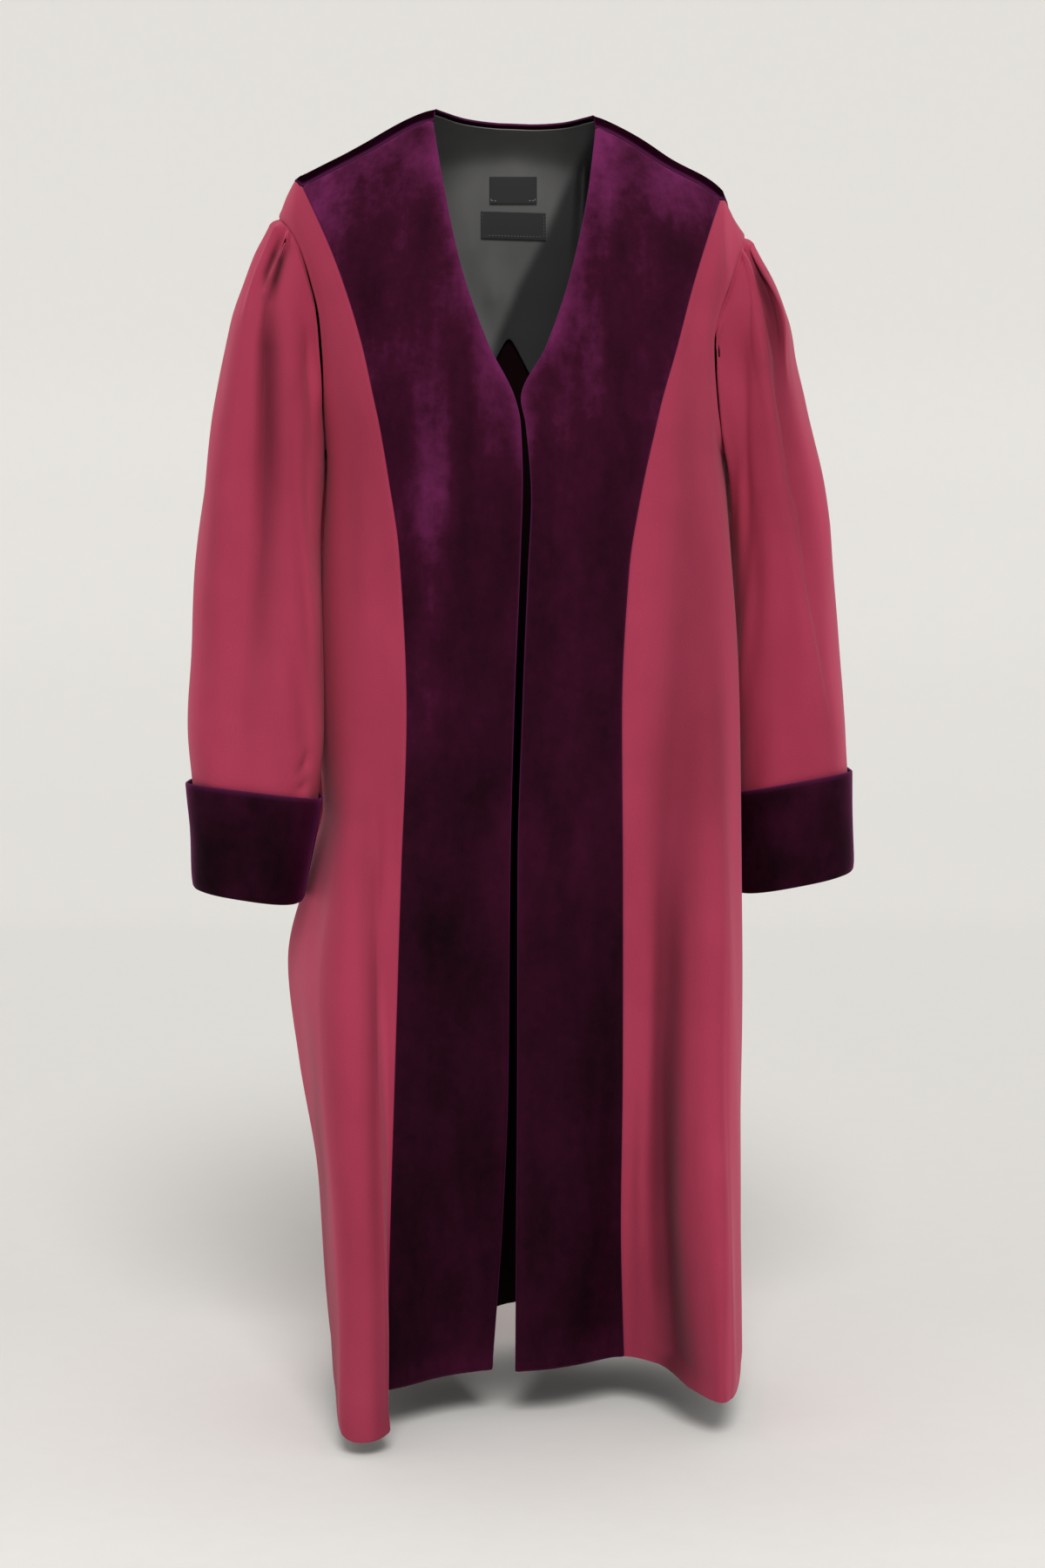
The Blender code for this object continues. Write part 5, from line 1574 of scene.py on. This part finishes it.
@dataclass
class VelvetCuffs:
    """The turned-up velvet cuffs, standing a little off the sleeves, with a rolled upper edge.

    The profile's columns are the rise from the sleeve's end and the offset from its surface. Its rows lie
    inside the sleeve and round its end up to the row where the outside begins.
    """

    forms: dict[int, SleeveForm]
    around: int = 150
    outside: int = 8
    gap: float = 0.0014
    under_gap: float = 0.0032
    profile: Rows = (
        (0.034, -0.0034),
        (0.024, -0.0034),
        (0.014, -0.0034),
        (0.006, -0.0034),
        (0.001, -0.0033),
        (-0.0024, -0.0028),
        (-0.0038, -0.0015),
        (-0.0042, 0.0003),
        (-0.0036, 0.0018),
        (-0.0022, 0.0026),
        (0.004, 0.0032),
        (0.012, 0.0034),
        (0.022, 0.0035),
        (0.034, 0.0036),
        (0.046, 0.0037),
        (0.058, 0.0038),
        (0.070, 0.0040),
        (0.082, 0.0043),
        (0.092, 0.0047),
        (0.098, 0.0050),
        (0.1018, 0.0052),
        (0.1035, 0.0046),
    )
    heights: dict[int, float] = field(default_factory=lambda: {-1: 0.94, 1: 0.92})

    def points(self, side: int) -> Grid:
        """Grid of a cuff: from inside the sleeve, round its end and up the outside, off the sleeve's oval."""
        sleeve = self.forms[side]
        angle = 180.0 * (1.0 - SEAM_SHARE) * np.linspace(-1.0, 1.0, self.around + 1)[None, :]
        rise = np.array(self.profile)[:, :1]
        offset = np.array(self.profile)[:, 1:]
        end = sleeve.end_height(angle)
        front = 0.005 * np.maximum(np.sin(np.radians(angle)), 0.0)
        height = end + rise * (self.heights[side] + front / 0.1)
        width, depth = sleeve.oval(angle, np.maximum(height, end))
        gap = blend(self.gap, self.under_gap, (1.0 - np.cos(np.radians(angle))) / 2.0)
        wall = np.stack((side * (width + gap), depth, height), axis=-1)
        ring = np.stack((side * (width[0] + gap[0]), depth[0]), axis=-1)
        tangent = unit(np.gradient(ring, axis=0))
        outward = side * np.stack((-tangent[:, 1], tangent[:, 0]), axis=-1)
        wall[..., :2] += offset[..., None] * outward[None]
        return wall

    def build(self, velvet: bpy.types.Material) -> None:
        """Build both cuffs."""
        for side in Side:
            sign = side.value
            points = self.points(sign)
            edges = EdgeDistance.of(points)
            shown = slice(self.outside, None)
            normals = outward_normals(points[shown], points[shown].mean(axis=1, keepdims=True))
            wavy = 0.0005 * ripple(edges.first[shown], points[shown, :, 2] * 0.6, 81 + sign, 0.07)
            from_fold = edges.top[shown] - edges.top[self.outside]
            lift = wavy * ease(edges.low[shown] / 0.02) * ease(from_fold / 0.02)
            points[shown] += lift[..., None] * normals
            # Painted highlight along the rolled upper edge; the patches are the velvet's own.
            rim_highlight = 0.60 * np.exp(-((edges.low / 0.0016) ** 2))
            patches = ripple(edges.first, points[..., 2], 91 + sign, 0.08)
            nap_and_painted_light = 0.16 + 0.07 * patches + 0.14 * np.exp(-edges.low / 0.006)
            cut = Cut(0.43, 0.145, 0.060, ("wool_sleeve_" + side.word,))
            name, node = "velvet_cuff_" + side.word, "cuff_" + side.word
            panel = Panel(name, node, "velvet", VELVET_WALL, cut, VELVET_ROUNDING)
            outward = points - points.mean(axis=1, keepdims=True)
            outward = outward * np.where(np.arange(len(points)) < self.outside - 1, 0.0, 1.0)[:, None, None]
            panel.dress(points, outward, (velvet,), {"nap_and_painted_light": nap_and_painted_light, "rim_highlight": rim_highlight})


@dataclass
class SatinLining:
    """The back half lining with its arched lower edge, and the two bare labels stitched to it.

    A label is a row of its centre, top, bottom, width and tilt.
    """

    form: RobeForm
    wall: float = 0.0010
    gap: float = 0.0021
    inset: float = 0.004
    arch_top: float = -0.171
    arch_centre: float = -0.006
    arch_slope: float = 2.1
    arch_round: float = 0.004
    arch_depth: float = 0.105
    reach: float = 0.146
    share: float = 0.25
    step: float = 0.008
    across: int = 110
    bend: int = 30
    hang: int = 60
    # Painted shade: a slanting line by height, to the right of which the lining is shaded.
    shade_edge_heights: tuple[float, ...] = (-0.030, 0.000, 0.030, 0.067, 0.119, 0.172, 0.240)
    shade_edge_places: tuple[float, ...] = (0.070, 0.055, 0.040, 0.024, -0.004, -0.026, -0.046)
    shade_softness: float = 0.014
    tape_wall: float = 0.0010
    tape_gap: float = 0.0004
    tape_points: tuple[int, int] = (29, 17)
    stitch_lift: float = 0.0002
    labels: dict[str, tuple[float, ...]] = field(
        default_factory=lambda: {
            "label_upper": (-0.0015, -0.009, -0.036, 0.048, 0.000),
            "label_lower": (-0.0015, -0.044, -0.071, 0.066, -0.030),
        }
    )
    folds: tuple[Fold, ...] = (
        Fold(((0.072, 0.025, 0.005, 0.0), (0.070, -0.02, 0.006, 0.0050), (0.068, -0.07, 0.008, 0.0040),
              (0.064, -0.12, 0.010, 0.0)), Face.BACK),
        Fold(((-0.050, -0.02, 0.010, 0.0), (-0.044, -0.08, 0.014, 0.0026),
              (-0.030, -0.14, 0.012, 0.0)), Face.BACK),
        Fold(((-0.024, -0.09, 0.008, 0.0), (-0.020, -0.13, 0.010, 0.0024),
              (-0.012, -0.17, 0.008, 0.0)), Face.BACK),
    )

    def low_edge(self, across: Grid) -> Grid:
        """Height of the lower edge: a narrow arch in the middle that levels out to both sides, as a tanh."""
        away = np.sqrt((across - self.arch_centre) ** 2 + self.arch_round**2) - self.arch_round
        return self.arch_top - self.arch_depth * np.tanh(self.arch_slope * away / self.arch_depth)

    def outward(self, points: Grid) -> Grid:
        """Normals that point out of the robe's back."""
        return outward_normals(points, np.array((0.0, 0.0, -0.1)))

    def surface(self, across: Grid, turn: Grid, layers: float) -> Grid:
        """The inside of the yoke and back, moved in by some layers and lifted by the lining's creases."""
        points = self.form.over_shoulder(across, turn)
        normals = self.outward(points)
        lift = layers + np.maximum(fold_lift(self.folds, points, normals), -0.0008)
        return points - lift[..., None] * normals

    def build(self, satin: bpy.types.Material, tape: bpy.types.Material) -> None:
        """Build the lining and both labels."""
        form = self.form
        part = np.linspace(self.share, 1.0 - self.share, self.across + 1)
        top_across, top_turn = form.yoke_top(part, self.inset)
        low_across = np.interp(part, (part[0], 0.5, part[-1]), (-self.reach, self.arch_centre, self.reach))
        low_turn = form.turn_at_height(low_across, self.low_edge(low_across))
        rows = form.bend_rows(self.bend, self.hang)
        place = blend(top_across[None, :], low_across[None, :], rows)
        turn = form.bend_turn(top_turn + self.step, low_turn, rows)
        base = VELVET_WALL / 2.0 + self.gap + self.wall / 2.0
        points = self.surface(place, turn, base)
        cut = Cut(0.34, 0.37, 0.090, ("velvet_yoke",))
        panel = Panel("satin_lining", "lining", "satin", self.wall, cut, LINING_ROUNDING)
        # Painted shade to the right of the slanting line, a little less near the top.
        shade_edge = np.interp(-points[..., 2], self.shade_edge_heights, self.shade_edge_places)
        in_shade = ease((points[..., 0] - shade_edge) / self.shade_softness)
        turned = in_shade * (0.95 - 0.25 * ease((points[..., 2] + 0.01) / 0.04))
        panel.dress(points, self.outward(points), (satin,), {"turned": turned})
        layers = base + self.wall / 2.0 + self.tape_gap + self.tape_wall / 2.0
        columns, rows_down = self.tape_points
        for name, (centre, top, bottom, width, tilt) in self.labels.items():
            place = centre + width * np.linspace(-0.5, 0.5, columns)[None, :]
            height = blend(top, bottom, np.linspace(0.0, 1.0, rows_down)[:, None]) + tilt * (place - centre)
            place = np.broadcast_to(place, height.shape)
            points = self.surface(place, form.turn_at_height(place, height), layers)
            cut = Cut(width, top - bottom, 0.999 * width * (top - bottom), ("satin_lining",))
            panel = Panel(name + "_tape", name, "label", self.tape_wall, cut, LINING_ROUNDING)
            panel.dress(points, self.outward(points), (tape,))

    def stitch_rows(self, name: str) -> tuple[Grid, Grid]:
        """Across and height of the stitches' two ends each, round a label a little inside its edge."""
        centre, top, bottom, width, tilt = self.labels[name]
        inset, length, pitch = 0.0016, 0.0020, 0.0032
        half, tall = width / 2.0 - inset, (top - bottom) / 2.0 - inset
        middle = (top + bottom) / 2.0
        runs = []
        for level in (-tall, tall):
            starts = np.arange(-half, half - length, pitch)
            held = np.full_like(starts, level)
            runs.append(np.stack((starts, held, starts + length, held), -1))
        for edge in (-half, half):
            starts = np.arange(-tall, tall - length, pitch)
            held = np.full_like(starts, edge)
            runs.append(np.stack((held, starts, held, starts + length), -1))
        ends = np.concatenate(runs).reshape(-1, 2, 2)
        if name == "label_upper":
            near_side = np.abs(ends[:, :, 0]).max(axis=1) > half - 0.0055
            near_foot = ends[:, :, 1].max(axis=1) < -tall + 0.004
            ends = ends[near_side & near_foot]
        return centre + ends[..., 0], middle + ends[..., 1] + tilt * ends[..., 0]

    def sew_labels(self, thread: bpy.types.Material, dark: bpy.types.Material) -> None:
        """Sew the labels on: each stitch is a short flat tube of eight-sided rings, arched on the tape."""
        for name, finish, radius in (("label_upper", thread, 0.00042), ("label_lower", dark, 0.00038)):
            across, height = self.stitch_rows(name)
            part = np.array((0.0, 0.12, 0.5, 0.88, 1.0))
            fat = np.array((0.15, 0.85, 1.0, 0.85, 0.15))
            place = across[:, :1] + (across[:, 1:] - across[:, :1]) * part
            level = height[:, :1] + (height[:, 1:] - height[:, :1]) * part
            layers = VELVET_WALL / 2.0 + self.gap + self.wall + self.tape_gap + self.tape_wall
            layers = layers + self.stitch_lift
            path = self.form.over_shoulder(place, self.form.turn_at_height(place, level))
            arch = layers + 0.00045 * np.sin(np.pi * part)
            path = path + unit(np.array((0.0, -1.0, 0.15))) * arch[None, :, None]
            along = unit(path[:, -1:] - path[:, :1])
            face = unit(np.broadcast_to(np.array((0.0, -1.0, 0.1)), along.shape))
            beside = unit(np.cross(along, face))
            ring = np.radians(np.arange(8) * 45.0)
            wide = np.cos(ring)[:, None] * beside[:, :, None]
            thick = 0.6 * np.sin(ring)[:, None] * face[:, :, None]
            circle = wide + thick
            tube = path[:, :, None] + radius * fat[None, :, None, None] * circle
            self.tube_mesh(name + "_stitches", tube, finish)

    def tube_mesh(self, name: str, tube: Grid, finish: bpy.types.Material) -> None:
        """Join many small closed tubes in one mesh.

        Args:
            name: the piece's name.
            tube: stitches by rings by ring points by 3.
            finish: its material.
        """
        count, rings, around = tube.shape[:3]
        index = np.arange(count * rings * around).reshape(count, rings, around)
        turned = np.roll(index, -1, axis=2)
        sides = (index[:, :-1], turned[:, :-1], turned[:, 1:], index[:, 1:])
        walls = np.stack(sides, axis=-1).reshape(-1, 4)
        caps = [ring.tolist() for ring in index[:, 0, ::-1]] + [ring.tolist() for ring in index[:, -1]]
        mesh = bpy.data.meshes.new(name)
        mesh.from_pydata(tube.reshape(-1, 3).tolist(), [], walls.tolist() + caps)
        mesh.shade_smooth()
        mesh.materials.append(finish)
        piece = bpy.data.objects.new(name, mesh)
        bpy.context.scene.collection.objects.link(piece)
        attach(piece, "root")
        LOG.info("%s: %d stitches", name, count)


@dataclass
class Studio:
    """The pale paper sweep, one soft light, the pale surroundings and the camera.

    The paper shade gives how far painted shade darkens the paper at some depths, from before the robe to the
    wall behind it.
    """

    floor_height: float = -1.236
    camera_place: Triple = (0.008, -3.0, -0.323)
    camera_pitch: float = 84.371
    lens: float = 69.0
    back: float = 3.2
    bend_radius: float = 1.3
    half_width: float = 7.0
    air_colour: tuple[float, ...] = (0.93, 0.92, 0.90, 1.0)
    air_strength: float = 0.54
    paper_shade_by_depth: Rows = (
        (-0.5, 0.0),
        (-0.3, 0.18),
        (0.3, 0.42),
        (3.3, 0.56),
        (3.83, 0.72),
        (4.16, 0.72),
        (4.43, 0.58),
        (4.50, 0.44),
    )

    def sweep(self, paper: bpy.types.Material) -> None:
        """Build the paper: one profile carried across, flat and then rising along a quarter circle."""
        bend = np.radians(np.linspace(0.0, 90.0, 25))
        radius, back = self.bend_radius, self.back
        floor = np.linspace(-0.6, back, 39)[:-1]
        depth = np.concatenate(((-6.0,), floor, back + radius * np.sin(bend), (back + radius,)))
        rise = np.concatenate((np.zeros(len(floor) + 1), radius * (1.0 - np.cos(bend)), (6.0,)))
        rise = rise + self.floor_height
        across = np.linspace(-self.half_width, self.half_width, 9)
        grid = np.stack(np.broadcast_arrays(across[None, :], depth[:, None], rise[:, None]), axis=-1)
        # Painted shade by depth, strongest round the bend of the sweep.
        paper_shade = np.interp(depth, *zip(*self.paper_shade_by_depth))[:, None]
        piece = grid_mesh("paper_sweep", grid, {"paper_shade": paper_shade})
        piece.data.materials.append(paper)

    def light(self, name: str, turn: float, rise: float, softness: float, strength: float) -> None:
        """Hang a large soft light, so far off that it is even over the whole studio.

        Args:
            name: the light's name.
            turn: its angle from the front, positive to the right.
            rise: its angle above the level.
            softness: how wide it looks from the robe, in degrees.
            strength: its strength in watts for each square metre.
        """
        lamp = bpy.data.lights.new(name, "SUN")
        lamp.angle = math.radians(softness)
        lamp.energy = strength
        lamp.color = (1.0, 0.985, 0.96)
        thing = bpy.data.objects.new(name, lamp)
        thing.rotation_euler = (math.radians(90.0 - rise), 0.0, math.radians(turn))
        thing.location = (4.0 * math.sin(math.radians(turn)), -4.0 * math.cos(math.radians(turn)), 2.0)
        bpy.context.scene.collection.objects.link(thing)

    def build(self, paper: bpy.types.Material) -> None:
        """Build the sweep, the light, the pale surroundings and the camera."""
        self.sweep(paper)
        self.light("front_light", turn=5.0, rise=45.0, softness=24.0, strength=1.80)
        world = bpy.data.worlds.new("studio_air")
        world.use_nodes = True
        air = world.node_tree.nodes["Background"].inputs
        air["Color"].default_value = self.air_colour
        air["Strength"].default_value = self.air_strength
        bpy.context.scene.world = world
        camera = bpy.data.cameras.new("camera")
        camera.lens = self.lens
        camera.sensor_width = 36.0
        camera.sensor_fit = "AUTO"
        thing = bpy.data.objects.new("camera", camera)
        thing.location = self.camera_place
        thing.rotation_euler = (math.radians(self.camera_pitch), 0.0, 0.0)
        bpy.context.scene.collection.objects.link(thing)
        bpy.context.scene.camera = thing
        bpy.context.scene.view_settings.view_transform = "Standard"


def sleeve_forms(form: RobeForm) -> dict[int, SleeveForm]:
    """The forms of the two sleeves, with their sections and pleats."""
    left = SleeveForm(
        form,
        -1,
        sections=(
            (-0.040, 0.170, 0.240, -0.050, 0.055),
            (-0.090, 0.176, 0.261, -0.066, 0.068),
            (-0.150, 0.184, 0.274, -0.084, 0.072),
            (-0.230, 0.1885, 0.288, -0.096, 0.066),
            (-0.320, 0.1905, 0.301, -0.106, 0.052),
            (-0.460, 0.1885, 0.3145, -0.116, 0.036),
            (-0.560, 0.1870, 0.319, -0.120, 0.028),
            (-0.630, 0.1930, 0.3148, -0.118, 0.024),
            (-0.730, 0.2100, 0.3120, -0.110, 0.020),
        ),
        pleats=(
            (60.0, 6.0, 0.0080, 0.110),
            (71.0, 2.6, -0.0022, 0.062),
            (80.0, 4.6, 0.0042, 0.088),
            (89.0, 2.8, -0.0026, 0.080),
            (0.0, 40.0, 0.0060, 0.078),
            (-58.0, 8.0, 0.0075, 0.095),
            (-69.0, 3.0, -0.0060, 0.070),
            (-80.0, 8.0, 0.0070, 0.105),
        ),
        end=-0.7165,
        slant=0.155,
    )
    right = SleeveForm(
        form,
        1,
        sections=(
            (-0.050, 0.176, 0.236, -0.046, 0.060),
            (-0.095, 0.184, 0.257, -0.056, 0.074),
            (-0.150, 0.196, 0.2710, -0.064, 0.086),
            (-0.190, 0.1995, 0.2750, -0.063, 0.091),
            (-0.240, 0.204, 0.2860, -0.062, 0.096),
            (-0.320, 0.2105, 0.3050, -0.052, 0.106),
            (-0.460, 0.217, 0.3225, -0.040, 0.116),
            (-0.560, 0.2195, 0.3320, -0.034, 0.118),
            (-0.630, 0.2200, 0.3355, -0.030, 0.116),
            (-0.730, 0.2220, 0.3405, -0.028, 0.110),
        ),
        pleats=(
            (58.0, 7.0, 0.0090, 0.160),
            (72.0, 3.4, -0.0050, 0.130),
            (86.0, 6.0, 0.0050, 0.200),
            (0.0, 40.0, 0.0060, 0.078),
            (-58.0, 8.0, 0.0075, 0.095),
            (-69.0, 3.0, -0.0060, 0.070),
            (-80.0, 8.0, 0.0070, 0.105),
        ),
        end=-0.7140,
        slant=0.190,
    )
    return {-1: left, 1: right}


def main() -> None:
    """Build and dress every piece of the robe, then the studio."""
    logging.basicConfig(level=logging.INFO, format="%(name)s %(message)s")
    form = RobeForm()
    wool = (WoolFinish().material(), InsideFinish().material())
    velvet = VelvetFinish().material()
    satin = SatinFinish().material()
    VelvetBands(form).build(velvet)
    WoolFronts(form).build(wool)
    WoolBack(form).build(wool)
    VelvetYoke(form).build(VelvetFinish("yoke_velvet", sheen=0.02, gloss=0.0).material())
    sleeves = sleeve_forms(form)
    WoolSleeves(sleeves).build(wool)
    VelvetCuffs(sleeves).build(velvet)
    lining = SatinLining(form)
    lining.build(satin, TapeFinish().material())
    pale = ThreadFinish().material()
    lining.sew_labels(pale, ThreadFinish("thread_grey", (0.20, 0.20, 0.21)).material())
    Studio().build(PaperFinish().material())


if __name__ == "__main__":
    main()
